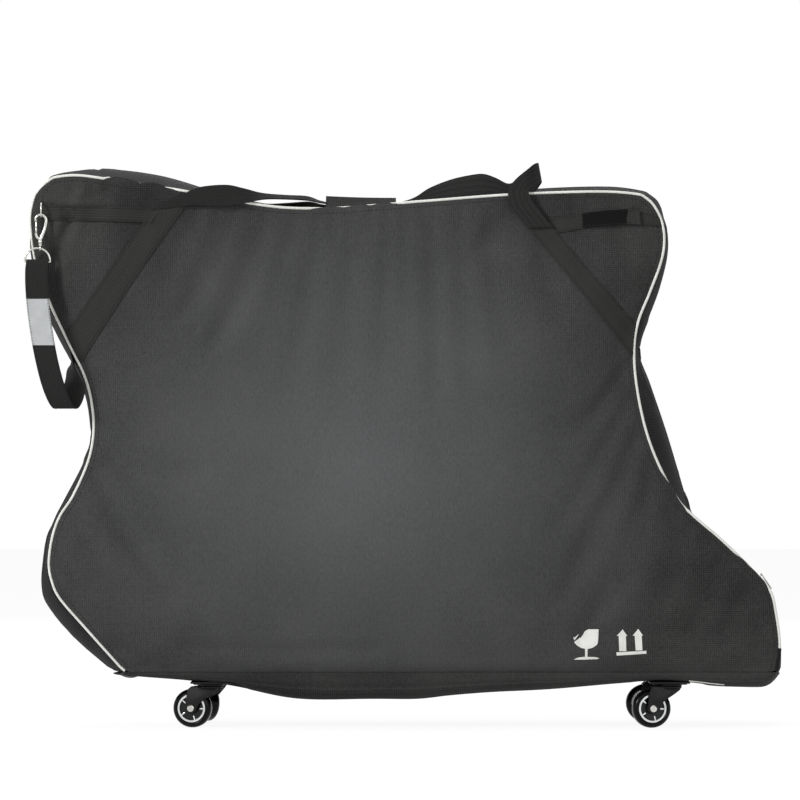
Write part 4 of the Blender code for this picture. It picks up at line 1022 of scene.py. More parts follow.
@dataclass
class BagForm:
    """The bag's outlines and depths, with the CAD's own values."""

    length: float = 1.186
    height: float = 0.787
    hinge: float = 0.090
    base_depth: float = 0.130
    extra_depth: float = 0.078
    deep_at: tuple[float, float] = (-0.45531, 1.00343)
    deep_spread: tuple[float, float] = (0.32040, 0.43202)
    bulge_height: float = 0.034
    bulge_power: float = 2.4
    corner_turn: float = 0.22
    stations: int = 50
    fine: int = 8
    centre_share: tuple[float, float] = (-0.03626, 0.42910)
    piping_radius: float = 0.0021
    tucks: Sequence[tuple] = (
        ((-0.700, 0.690), (-0.450, 0.858), 0.0074), ((-0.472, 0.800), (-0.375, 0.920), 0.0104),
        ((-0.144, 0.800), (-0.018, 0.920), 0.0066), ((0.406, 0.356), (0.438, 0.400), 0.0080),
        ((0.531, 0.230), (0.569, 0.272), 0.0080))
    tuck_fade: float = 0.012
    front_tuck: float = -0.47
    roll_reach: float = 0.034
    crown_pull: float = 15.0
    foot_steps: int = 90
    crown_steps: int = 2400
    belly_steps: int = 240
    zip_half: float = 0.0052
    seam_shares: Line = (
        (-0.379, 0.000), (-0.415, 0.061), (-0.446, 0.113), (-0.471, 0.161), (-0.481, 0.222),
        (-0.471, 0.300), (-0.449, 0.355), (-0.428, 0.426), (-0.420, 0.499), (-0.428, 0.582),
        (-0.450, 0.657), (-0.476, 0.741), (-0.492, 0.827), (-0.498, 0.895), (-0.494, 0.950),
        (-0.476, 0.991), (-0.440, 1.000), (-0.393, 0.991), (-0.321, 0.976), (-0.190, 0.942),
        (-0.109, 0.938), (-0.028, 0.947), (0.137, 0.967), (0.226, 0.972), (0.287, 0.972), (0.321, 0.961),
        (0.341, 0.921), (0.346, 0.863), (0.334, 0.794), (0.3135, 0.723), (0.3055, 0.648), (0.312, 0.551),
        (0.331, 0.446), (0.367, 0.344), (0.409, 0.287), (0.454, 0.222), (0.486, 0.170), (0.496, 0.119),
        (0.501, 0.055), (0.496, 0.000))
    crown_shares: Line = (
        (-0.401, 0.000), (-0.4275, 0.033), (-0.4525, 0.067), (-0.4755, 0.098), (-0.4885, 0.133),
        (-0.4965, 0.164), (-0.4905, 0.269), (-0.478, 0.319), (-0.461, 0.368), (-0.4375, 0.441),
        (-0.4305, 0.502), (-0.4385, 0.574), (-0.462, 0.653), (-0.490, 0.728), (-0.509, 0.821),
        (-0.513, 0.903), (-0.5055, 0.957), (-0.494, 0.998), (-0.478, 1.019), (-0.447, 1.026),
        (-0.397, 1.029), (-0.348, 1.019), (-0.296, 1.000), (-0.214, 0.963), (-0.110, 0.947),
        (-0.004, 0.958), (0.094, 0.977), (0.193, 0.990), (0.275, 0.993), (0.312, 0.989), (0.344, 0.961),
        (0.354, 0.897), (0.352, 0.834), (0.3365, 0.751), (0.317, 0.668), (0.328, 0.607), (0.347, 0.525),
        (0.372, 0.402), (0.395, 0.299), (0.433, 0.257), (0.472, 0.203), (0.495, 0.154), (0.500, 0.100),
        (0.508, 0.031), (0.508, 0.000))
    belly_profile: Line = (
        (-0.379, 0.0862), (-0.346, 0.0822), (-0.292, 0.0760), (-0.230, 0.0640), (-0.143, 0.0480),
        (-0.004, 0.0475), (0.061, 0.0550), (0.142, 0.0610), (0.238, 0.0680), (0.327, 0.0740),
        (0.380, 0.0720), (0.430, 0.0680), (0.480, 0.0680), (0.496, 0.0760))
    squareness: float = 0.42
    bow_reach: float = 0.12

    def __post_init__(self) -> None:
        """Work the outlines out once."""
        self.centre = self.point(self.centre_share)
        seam = even_curve([self.point(share) for share in self.seam_shares], self.stations, self.corner_turn)
        dense = even_curve([self.point(share) for share in self.crown_shares], self.crown_steps)
        crown = [self.across(point, dense) for point in seam]
        crown[0], crown[-1] = self.point(self.crown_shares[0]), self.point(self.crown_shares[-1])
        self.seam = curve_through(seam, self.fine)
        self.crown = [outer.lerp(inner, self.crown_pull * self.tuck(inner)[1] * (inner.x < self.front_tuck))
                      for outer, inner in zip(curve_through(crown, self.fine), self.seam)]
        self.near_seam = lookup(self.seam)
        arc = self.inward(self.seam, self.piping_radius + SEAT_GAP)
        floor = self.hinge + SEAT_GAP
        for end, beside in ((0, 1), (-1, -2)):
            slope = arc[end] - arc[beside]
            arc[end] = arc[end] + slope * (floor - arc[end].y) / slope.y
        self.edge = arc + [arc[-1].lerp(arc[0], step / self.foot_steps) for step in range(1, self.foot_steps)]
        keyed = sorted((math.atan2(p.y - self.centre.y, p.x - self.centre.x), index)
                       for index, p in enumerate(self.edge))
        self.angles = [key for key, _ in keyed]
        self.ordered = [self.edge[index] for _, index in keyed]
        belly = even_curve([Vector((x * self.length, z)) for x, z in self.belly_profile], self.belly_steps)
        self.belly = [tuple(point) for point in belly]

    def tuck(self, spot: Sequence[float]) -> tuple[float, float]:
        """How far the piping is tucked away at an (x, z) point, from 0 to 1, and the panel's roll over it.

        Args:
            spot: the (x, z) point.

        Returns:
            The share that is tucked away, and the reach of the roll.
        """
        hidden, roll = 0.0, 0.0
        for (x0, z0), (x1, z1), reach in self.tucks:
            inside = min(spot[0] - x0, x1 - spot[0], spot[1] - z0, z1 - spot[1])
            weight = clamp(0.5 + inside / (2 * self.tuck_fade))
            hidden, roll = max(hidden, weight), max(roll, weight * reach)
        return hidden, roll

    def rolled(self, x: float, z: float) -> tuple[float, float]:
        """Move a point near the panel's edge out over the tucked piping.

        Args:
            x: distance along the bag.
            z: height.

        Returns:
            The point's new x and z.
        """
        near, _, gap = self.near_seam.find((x, z, 0.0))
        _, roll = self.tuck((near.x, near.y))
        if not roll or gap < 1e-6:
            return x, z
        push = roll * max(0.0, 1 - gap / self.roll_reach) ** 2 / gap
        return x + (near.x - x) * push, z + (near.y - z) * push

    def point(self, share: Sequence[float]) -> Vector:
        """Place a point given in shares of the side's length and height, as (x, z)."""
        return Vector((share[0] * self.length, self.hinge + SEAT_GAP + share[1] * self.height))

    def across(self, point: Vector, dense: Sequence[Vector]) -> Vector:
        """The crown point on the line from the panel's centre through a seam point.

        Args:
            point: the seam point.
            dense: the crown as closely set points.

        Returns:
            A copy of the nearest of them.
        """
        line = (point - self.centre).normalized()

        def off_line(candidate: Vector) -> float:
            """How far a crown point lies off the line, or the limit behind the centre."""
            offset = candidate - self.centre
            return abs(line.x * offset.y - line.y * offset.x) if line.dot(offset) > 0 else APART

        return min(dense, key=off_line).copy()

    def towards_middle(self, along: Vector, point: Vector) -> Vector:
        """The direction square to an outline's step at a point, towards the panel's centre."""
        normal = Vector((-along.y, along.x)).normalized()
        return -normal if normal.dot(self.centre - point) < 0 else normal

    def inward(self, points: Sequence[Vector], distance: float) -> list[Vector]:
        """Move an open outline square to itself, towards the middle of the panel.

        Args:
            points: the outline.
            distance: how far it moves.

        Returns:
            The moved outline.
        """
        result = []
        for index, point in enumerate(points):
            along = points[min(index + 1, len(points) - 1)] - points[max(index - 1, 0)]
            result.append(point + distance * self.towards_middle(along, point))
        return result

    def seam_depth(self, x: float, z: float) -> float:
        """Half the bag's depth at the panel seam.

        Args:
            x: distance along the bag.
            z: height.

        Returns:
            The distance from the bag's middle plane.
        """
        centre = self.point(self.deep_at)
        along = (x - centre.x) / (self.deep_spread[0] * self.length)
        up = (z - centre.y) / (self.deep_spread[1] * self.height)
        return self.base_depth + self.extra_depth * math.exp(-along ** 2 - up ** 2)

    def bulge(self, share: float) -> float:
        """How far a panel stands out of its seam at a share of the way to its edge."""
        return self.bulge_height * (1 - min(share, 1.0) ** self.bulge_power)

    def edge_share(self, x: float, z: float) -> float:
        """How far a point lies from the panel's centre, as a share of the way to the edge.

        Args:
            x: distance along the bag.
            z: height.

        Returns:
            0 at the centre and 1 at the edge.
        """
        offset = Vector((x, z)) - self.centre
        index = bisect(self.angles, math.atan2(offset.y, offset.x))
        a = self.ordered[index - 1] - self.centre
        b = self.ordered[index % len(self.ordered)] - self.centre
        turn = a.x * b.y - a.y * b.x
        if abs(turn) < 1e-12:
            return offset.length / max(a.length, 1e-9)
        return (offset.x * b.y - offset.y * b.x + a.x * offset.y - a.y * offset.x) / turn

    def panel_depth(self, x: float, z: float) -> float:
        """Distance of the panel's outer face from the bag's middle plane."""
        return self.seam_depth(x, z) + self.bulge(self.edge_share(x, z))

    def belly_height(self, x: float) -> float:
        """Height of the tray's underside along its middle.

        Args:
            x: distance along the bag.

        Returns:
            The height above the ground.
        """
        index = clamp(bisect([point[0] for point in self.belly], x), 1, len(self.belly) - 1)
        (x0, z0), (x1, z1) = self.belly[index - 1], self.belly[index]
        return z0 + (z1 - z0) * clamp((x - x0) / (x1 - x0))

    def bowed(self, x: float, y: float) -> float:
        """Bow the tray's ends out to the crown of the gusset above them.

        Args:
            x: distance along the bag.
            y: distance from its middle plane.

        Returns:
            The new x.
        """
        front, rear = self.seam[0].x, self.seam[-1].x
        share = 1 - (y / self.base_depth) ** 2
        forward = max(0.0, 1 - (x - front) / self.bow_reach) ** 2 * (front - self.crown[0].x)
        backward = max(0.0, 1 - (rear - x) / self.bow_reach) ** 2 * (self.crown[-1].x - rear)
        return x + share * (backward - forward)

    def gusset_point(self, side: Side, at: float, share: float) -> Vector:
        """A point of the gusset's outer face, by index along the seam and share of the way to the zip.

        Args:
            side: the side of the bag.
            at: the index along the seam, with a fraction.
            share: 0 at the seam and 1 at the zip.

        Returns:
            The point.
        """
        low = min(int(at), len(self.seam) - 2)
        seam = self.seam[low].lerp(self.seam[low + 1], at - low)
        crown = self.crown[low].lerp(self.crown[low + 1], at - low)
        start = self.seam_depth(*seam) - self.piping_radius - SEAT_GAP
        end = self.zip_half + 2 * SEAT_GAP
        place = seam.lerp(crown, math.sin(share * math.pi / 2))
        return Vector((place.x, side.value * (start + (end - start) * share), place.y))


FORM = BagForm()


@dataclass(frozen=True)
class Drape:
    """How a sewn sheet is settled as cloth: its slack, its filling and the most that a point may move."""

    slack: float
    pressure: float
    gravity: float
    frames: int
    cap: float
    give: float = 0.25

    def settle(self, obj: Piece, pins: Sequence[int]) -> None:
        """Run the cloth with some points held, and keep the shape that it comes to.

        Args:
            obj: the sheet.
            pins: indices of the vertices that are sewn down.
        """
        rest = [vert.co.copy() for vert in obj.data.vertices]
        held = obj.vertex_groups.new(name="sewn")
        held.add(list(pins), 1.0, "REPLACE")
        cloth = obj.modifiers.new("cloth", "CLOTH")
        values = {"quality": 5, "mass": 0.25, "tension_stiffness": 22.0, "compression_stiffness": 18.0,
                  "shear_stiffness": 8.0, "bending_stiffness": 1.2, "air_damping": 3.0,
                  "vertex_group_mass": held.name, "shrink_min": -self.slack, "use_pressure": True,
                  "uniform_pressure_force": self.pressure}
        for key, value in values.items():
            setattr(cloth.settings, key, value)
        cloth.settings.effector_weights.gravity = self.gravity
        cloth.collision_settings.use_collision = False
        cloth.point_cache.frame_start = 1
        cloth.point_cache.frame_end = self.frames
        scene = bpy.context.scene
        for number in range(1, self.frames + 1):
            scene.frame_set(number)
        settled = obj.evaluated_get(bpy.context.evaluated_depsgraph_get()).data
        moved = [vert.co.copy() for vert in settled.vertices]
        obj.modifiers.remove(cloth)
        obj.vertex_groups.remove(held)
        for vert, old, new in zip(obj.data.vertices, rest, moved):
            step = new - old
            if step.length > self.cap:
                step = step.normalized() * self.cap * (1 + self.give * math.tanh(step.length / self.cap - 1))
            vert.co = old + step
        scene.frame_set(1)


@dataclass(frozen=True)
class Crease:
    """A soft fold in a panel: a line of (x, z) points, its depth inwards and its width."""

    line: Line
    depth: float
    width: float

    def dent(self, x: float, z: float) -> float:
        """How far the fold pulls a point in.

        Args:
            x: distance along the bag.
            z: height.

        Returns:
            The distance inwards.
        """
        best = APART
        for (x0, z0), (x1, z1) in zip(self.line, self.line[1:]):
            dx, dz = x1 - x0, z1 - z0
            share = clamp(((x - x0) * dx + (z - z0) * dz) / (dx * dx + dz * dz))
            best = min(best, math.hypot(x - x0 - share * dx, z - z0 - share * dz))
        return self.depth * math.exp(-(best / self.width) ** 2)


class Skin:
    """The outer face of a finished panel, for what is sewn or printed on it."""

    def __init__(self, obj: Piece, side: Side) -> None:
        """Read the panel's faces once."""
        self.side = side
        self.tree = BVHTree.FromPolygons([vert.co for vert in obj.data.vertices],
                                         [face.vertices for face in obj.data.polygons])

    def at(self, x: float, z: float, lift: float) -> Vector:
        """The point of the panel over (x, z), raised by a lift.

        Args:
            x: distance along the bag.
            z: height.
            lift: how far the point stands off the panel.

        Returns:
            The point.
        """
        sign = self.side.value
        found, normal, _, _ = self.tree.ray_cast(Vector((x, sign, z)), Vector((0.0, -sign, 0.0)))
        if found is None:
            found = Vector((x, sign * FORM.seam_depth(x, z), z))
            normal = self.tree.find_nearest(found)[1]
        return found + lift * (normal if normal.y * sign > 0 else -normal)


@dataclass
class PanelCover:
    """A padded side panel: canvas outside, coated lining inside, sewn flat along its edge."""

    side: Side
    cell: float = 0.0095
    thickness: float = 0.0038
    edge_fade: float = 20.0
    edge_room: float = 0.55
    smoothing: int = 30
    gather_lean: tuple[float, float] = (-0.35, 0.35)
    gather_length: tuple[float, float] = (0.016, 0.060)
    gather_depth: tuple[float, float] = (0.0012, 0.0036)
    gather_width: tuple[float, float] = (0.006, 0.010)
    gather_gap: tuple[float, float] = (4.0, 9.0)
    drape: Drape = Drape(slack=0.012, pressure=1.6, gravity=0.35, frames=22, cap=0.0060)
    creases: Sequence[Crease] = (
        Crease(((-0.534, 0.803), (-0.544, 0.777), (-0.555, 0.751), (-0.560, 0.720), (-0.556, 0.690),
                (-0.549, 0.668)), 0.0125, 0.0100),
        Crease(((-0.568, 0.818), (-0.566, 0.790), (-0.564, 0.762)), 0.0066, 0.0120),
        Crease(((-0.470, 0.872), (-0.452, 0.852), (-0.430, 0.842), (-0.395, 0.836)), 0.0070, 0.013),
        Crease(((-0.507, 0.842), (-0.463, 0.857), (-0.429, 0.855)), 0.0048, 0.009),
        Crease(((-0.545, 0.866), (-0.528, 0.858)), 0.0050, 0.008),
        Crease(((-0.506, 0.872), (-0.500, 0.862)), 0.0050, 0.007),
        Crease(((-0.478, 0.876), (-0.474, 0.862)), 0.0050, 0.007),
        Crease(((0.175, 0.842), (0.150, 0.800), (0.120, 0.770)), 0.0060, 0.020),
        Crease(((0.350, 0.560), (0.300, 0.500), (0.240, 0.470)), 0.0050, 0.022),
        Crease(((-0.470, 0.420), (-0.400, 0.400), (-0.330, 0.410)), 0.0050, 0.020),
        Crease(((-0.520, 0.240), (-0.450, 0.215), (-0.380, 0.205)), 0.0050, 0.022),
        Crease(((0.560, 0.165), (0.480, 0.150), (0.380, 0.152), (0.280, 0.148)), 0.0040, 0.016),
        Crease(((-0.350, 0.130), (-0.200, 0.124), (-0.050, 0.128)), 0.0036, 0.012),
    )

    def sheet(self) -> Piece:
        """A grid of threads laid in the panel's outline, with one ring of cells drawn out to its edge.

        Returns:
            The flat sheet, with its threads along and up the bag.
        """
        deselect()
        low, high = ([end(point[axis] for point in FORM.edge) for axis in (0, 1)] for end in (min, max))
        counts = [int((b - a) / self.cell) for a, b in zip(low, high)]
        bpy.ops.mesh.primitive_grid_add(x_subdivisions=counts[0], y_subdivisions=counts[1], size=1.0,
                                        calc_uvs=False)
        obj = bpy.context.object
        obj.name = obj.data.name = f"{self.side.label}_panel_cover"
        outline = lookup(FORM.edge)
        with opened(obj) as work:
            spare = []
            for vert in work.verts:
                x, z = (a + (share + 0.5) * (b - a) for a, b, share in zip(low, high, vert.co))
                vert.co = (x, 0.0, z)
                if FORM.edge_share(x, z) > 1 or outline.find((x, z, 0.0))[2] < self.edge_room * self.cell:
                    spare.append(vert)
            bmesh.ops.delete(work, geom=spare, context="VERTS")
            self.trim(work)
            self.draw_out(work, outline)
            self.raise_form(work)
        return obj

    def trim(self, work: BMesh) -> None:
        """Take off corners that hang on by one cell, so that the border is one plain loop.

        Args:
            work: the sheet's bmesh.
        """
        for _ in range(4):
            loose = [face for face in work.faces if sum(edge.is_boundary for edge in face.edges) >= 3]
            pinched = [vert for vert in work.verts if sum(edge.is_boundary for edge in vert.link_edges) > 2]
            if not loose and not pinched:
                break
            bmesh.ops.delete(work, geom=loose, context="FACES")
            bmesh.ops.delete(work, geom=[vert for vert in pinched if vert.is_valid], context="VERTS")
        bmesh.ops.delete(work, geom=[vert for vert in work.verts if not vert.link_faces], context="VERTS")

    def draw_out(self, work: BMesh, outline: KDTree) -> None:
        """Extrude the border to the outline, with its points spread evenly and two on the corners.

        Args:
            work: the sheet's bmesh.
            outline: finds the nearest point of the outline.
        """
        edge = next(item for item in work.edges if item.is_boundary)
        loop = [edge.verts[0]]
        while (after := edge.other_vert(loop[-1])) is not loop[0]:
            loop.append(after)
            edge = next(item for item in after.link_edges if item.is_boundary and item is not edge)
        total = len(FORM.edge)
        at = [outline.find((vert.co.x, vert.co.z, 0.0))[1] for vert in loop]
        ahead = sum(1 for a, b in zip(at, at[1:]) if 0 < (b - a) % total < total / 2)
        if ahead < len(at) / 2:
            loop.reverse()
            at.reverse()

        def offset(value: float) -> float:
            """The shorter way round the outline to a place."""
            return (value + total / 2) % total - total / 2

        places = [float(at[0])]
        for value in at[1:]:
            places.append(places[-1] + max(offset(value - places[-1]), 0.0))
        count = len(places)
        for _ in range(self.smoothing):
            round_trip = [places[-1] - total, *places, places[0] + total]
            places = [(before + 2 * here + after) / 4
                      for before, here, after in zip(round_trip, places, round_trip[2:])]
        for corner in (0.0, float(len(FORM.seam) - 1)):
            nearest = min(range(count), key=lambda i: abs(offset(places[i] - corner)))
            places[nearest] += corner - (places[nearest] + total / 2) % total + total / 2
        outer = []
        for value in places:
            value %= total
            first, second = (FORM.edge[(int(value) + step) % total] for step in (0, 1))
            point = first.lerp(second, value % 1.0)
            outer.append(work.verts.new((point.x, 0.0, point.y)))
        for index in range(count):
            after = (index + 1) % count
            work.faces.new((loop[index], loop[after], outer[after], outer[index]))
        bmesh.ops.recalc_face_normals(work, faces=work.faces[:])

    def raise_form(self, work: BMesh) -> None:
        """Give the flat sheet the panel's depth, with its faces outwards.

        Args:
            work: the sheet's bmesh.
        """
        for vert in work.verts:
            vert.co.y = self.side.value * FORM.panel_depth(vert.co.x, vert.co.z)
        work.normal_update()
        if sum(face.normal.y for face in work.faces) * self.side.value < 0:
            bmesh.ops.reverse_faces(work, faces=work.faces[:])

    def puckers(self) -> list[Crease]:
        """Short gathers square to the seam, at uneven steps round the panel.

        Returns:
            One fold for each gather.
        """
        chance = random.Random(SEED + self.side.value)
        gathers = []
        at = 3.0
        while at < len(FORM.seam) - 4:
            spot = FORM.seam[int(at)]
            along = FORM.seam[int(at) + 1] - spot
            slant = along.normalized() * chance.uniform(*self.gather_lean)
            lean = FORM.towards_middle(along, spot) + slant
            end = spot + lean * chance.uniform(*self.gather_length)
            gathers.append(Crease((tuple(spot), tuple(end)), chance.uniform(*self.gather_depth),
                                  chance.uniform(*self.gather_width)))
            at += chance.uniform(*self.gather_gap)
        return gathers

    def press(self, obj: Piece, folds: Sequence[Crease]) -> None:
        """Press folds into the panel, less so towards its sewn edge.

        Args:
            obj: the panel.
            folds: the folds to press.
        """
        for vert in obj.data.vertices:
            x, z = vert.co.x, vert.co.z
            fade = clamp((1 - FORM.edge_share(x, z)) * self.edge_fade)
            if fade:
                vert.co.y -= self.side.value * fade * sum(crease.dent(x, z) for crease in folds)

    def build(self) -> tuple[Piece, Skin]:
        """Settle, crease and thicken the panel, and give it with its outer face.

        Returns:
            The panel and the face that others are sewn to.
        """
        obj = self.sheet()
        self.drape.settle(obj, rim(obj))
        self.press(obj, self.puckers())
        for vert in obj.data.vertices:
            vert.co.x, vert.co.z = FORM.rolled(vert.co.x, vert.co.z)
        modify(obj, "SUBSURF", levels=1, boundary_smooth="PRESERVE_CORNERS")
        self.press(obj, self.creases)
        skin = Skin(obj, self.side)
        smooth(thicken(obj, self.thickness, -1.0, material_offset=1), 60.0)
        finish(obj, CANVAS, self.side.body, [f"{self.side.label}_panel"], [LINING])
        return obj, skin


@dataclass
class GussetCover:
    """Half the gusset: slack canvas from the piping to the zip."""

    side: Side
    rows: int = 14
    width: float = 0.15
    thickness: float = 0.0026
    drape: Drape = Drape(slack=0.022, pressure=0.12, gravity=0.25, frames=18, cap=0.0020)

    def build(self) -> Piece:
        """Lay the gusset along its outline, settle it and thicken it.

        Returns:
            The finished gusset.
        """
        last = len(FORM.seam) - 1

        def place(along: float, share: float) -> Vector:
            """A point of the gusset by two shares."""
            return FORM.gusset_point(self.side, along * last, share)

        sizes = path_length(FORM.seam), self.width
        obj = grid(f"{self.side.label}_gusset_cover", last, self.rows, place, sizes)
        with opened(obj) as work:
            work.normal_update()
            centre = Vector((FORM.centre.x, 0.0, FORM.centre.y))
            if sum(face.normal.dot(face.calc_center_median() - centre) for face in work.faces) < 0:
                bmesh.ops.reverse_faces(work, faces=work.faces[:])
        self.drape.settle(obj, rim(obj))
        self.keep_up(obj)
        thicken(obj, self.thickness, -1.0)
        self.keep_up(obj)
        smooth(obj, 60.0)
        finish(obj, GUSSET_CANVAS, self.side.body, [f"{self.side.label}_gusset"])
        return obj

    def keep_up(self, obj: Piece) -> None:
        """Keep the gusset's ends above the base."""
        for vert in obj.data.vertices:
            vert.co.z = max(vert.co.z, FORM.hinge + SEAT_GAP)


@dataclass
class Edging:
    """The piping over the seam, its binding at the rear foot, and the topstitching beside it."""

    side: Side
    radius: float = 0.0021
    sink: float = 0.0100
    front_sink: float = 0.0062
    peek: float = 0.0030
    binding_top: float = 0.128
    binding_growth: float = 1.4
    stitch_inset: float = 0.0085
    stitch_pitch: float = 0.0062
    stitch_lift: float = 0.0002
    stitch_radius: float = 0.00045
    stitch_ends: tuple[float, float] = (0.18, 0.82)

    def build(self, skin: Skin) -> None:
        """Lay the piping along the seam and sew beside it.

        Args:
            skin: the panel's outer face.
        """
        route = []
        for spot, beyond in zip(FORM.seam, FORM.inward(FORM.seam, -1.0)):
            hidden, roll = FORM.tuck(spot)
            front = spot.x < FORM.front_tuck
            moved = spot + (beyond - spot) * (max(0.0, roll - self.peek) if front else 0.0)
            depth = FORM.seam_depth(*spot) - hidden * (self.front_sink if front else self.sink)
            route.append(Vector((moved.x, self.side.value * depth, moved.y)))
        route[0].z = route[-1].z = FORM.hinge + self.radius
        last = len(route) - 1
        while route[last - 1].z < self.binding_top:
            last -= 1
        label = self.side.label
        piping = wire(f"{label}_piping_cover", route[:last + 1], self.radius, 12)
        finish(piping, PIPING, self.side.body, [f"{label}_piping"])
        binding = wire(f"{label}_foot_binding", route[last:], self.radius * self.binding_growth, 12)
        finish(binding, BINDING, self.side.body)
        inner = FORM.inward(FORM.seam, self.stitch_inset)
        line = even_curve(inner, int(path_length(inner) / self.stitch_pitch))
        seam = Stitching(f"{label}_topstitch")
        for first, second in zip(line, line[1:]):
            ends = (skin.at(*first.lerp(second, share), self.stitch_lift) for share in self.stitch_ends)
            seam.add(*ends, self.stitch_radius)
        seam.build(self.side.body)


class Stitching:
    """A run of thread: many short stitches in one piece."""

    def __init__(self, name: str) -> None:
        """Start an empty run."""
        self.name = name
        self.work = bmesh.new()

    def add(self, start: Vector, end: Vector, radius: float) -> None:
        """Add one stitch between two points.

        Args:
            start: one end.
            end: the other end.
            radius: the thread's radius.
        """
        along = end - start
        across = along.orthogonal().normalized()
        beside = along.cross(across).normalized()
        turns = [2 * math.pi * step / 5 for step in range(5)]
        rings = []
        for share, size in ((0.0, 0.35), (0.25, 1.0), (0.75, 1.0), (1.0, 0.35)):
            outs = [radius * size * (math.cos(turn) * across + math.sin(turn) * beside) for turn in turns]
            rings.append([self.work.verts.new(start + share * along + out) for out in outs])
        bridge(self.work, rings)

    def build(self, body: str) -> None:
        """Turn the run into a piece on a body."""
        bmesh.ops.recalc_face_normals(self.work, faces=self.work.faces[:])
        finish(smooth(drawn(self.name, self.work), 70.0), THREAD, body)


@dataclass
class ZipSide:
    """One side of the coil zip: its tape and its row of teeth along the crown."""

    side: Side
    tape_inner: float = 0.0016
    tape_overlap: float = 0.0006
    tape_drop: tuple[float, float] = (0.0016, 0.0006)
    tape_thickness: float = 0.0008
    tooth_pitch: float = 0.0032
    tooth_size: tuple[float, float, float] = (0.0017, 0.0032, 0.0021)
    tooth_drop: float = 0.0012
    tooth_start: float = 0.0003
    tooth_taper: float = 0.92
    end_room: float = 0.004

    def build(self) -> None:
        """Lay the tape between the gusset and the teeth, and set the teeth along it."""
        last = len(FORM.crown) - 1
        length = path_length(FORM.crown)
        out = [(point - FORM.centre).normalized() for point in FORM.crown]
        drop, hollow = self.tape_drop

        def place(along: float, share: float) -> Vector:
            """A point of the tape, which hangs a little between its edges.

            Args:
                along: the share of the length.
                share: the share of the width.

            Returns:
                The point.
            """
            index = min(int(along * last + 0.5), last)
            point = FORM.crown[index] - out[index] * (drop + hollow * math.sin(math.pi * share))
            y = self.tape_inner + (FORM.zip_half + self.tape_overlap - self.tape_inner) * share
            return Vector((point.x, self.side.value * y, max(point.y, FORM.hinge + 2 * SEAT_GAP)))

        tape = tidy_edit(grid(f"{self.side.label}_zip_tape", last, 3, place, (length, 0.004)))
        thicken(tape, self.tape_thickness)
        finish(smooth(tape, 50.0), ZIP_TAPE, self.side.body, [f"{self.side.label}_zip_chain"])
        self.teeth(length)

    def teeth(self, length: float) -> None:
        """Copy one coil tooth along the tape, half a pitch on from the other side's.

        Args:
            length: the tape's length.
        """
        line = even_curve(FORM.crown, int(length / self.tooth_pitch) * 2)
        wide, reach, high = self.tooth_size
        chain = bmesh.new()
        for index in range(2 if self.side is Side.NEAR else 3, len(line) - 2, 2):
            at = line[index]
            if at.y < FORM.hinge + self.end_room:
                continue
            along = (line[index + 1] - line[index - 1]).normalized()
            up = (at - FORM.centre).normalized()
            up = (up - up.project(along)).normalized()
            base = at - up * self.tooth_drop
            rings = []
            for rise, grow in ((-0.0006, 0.8), (high * 0.35, 1.0), (high * 0.5, 0.6)):
                ring = []
                for a, b in ((-1, 0.02), (1, 0.02), (1, 1.0), (-1, 1.0)):
                    spot = base + along * a * wide / 2 * grow + up * rise
                    out = reach * b * (self.tooth_taper if grow < 1 else 1.0)
                    y = self.side.value * (self.tooth_start + out)
                    ring.append(chain.verts.new((spot.x, y, spot.y)))
                rings.append(ring)
            bridge(chain, rings)
        bmesh.ops.recalc_face_normals(chain, faces=chain.faces[:])
        finish(smooth(drawn(f"{self.side.label}_zip_teeth", chain), 40.0), COIL, self.side.body)


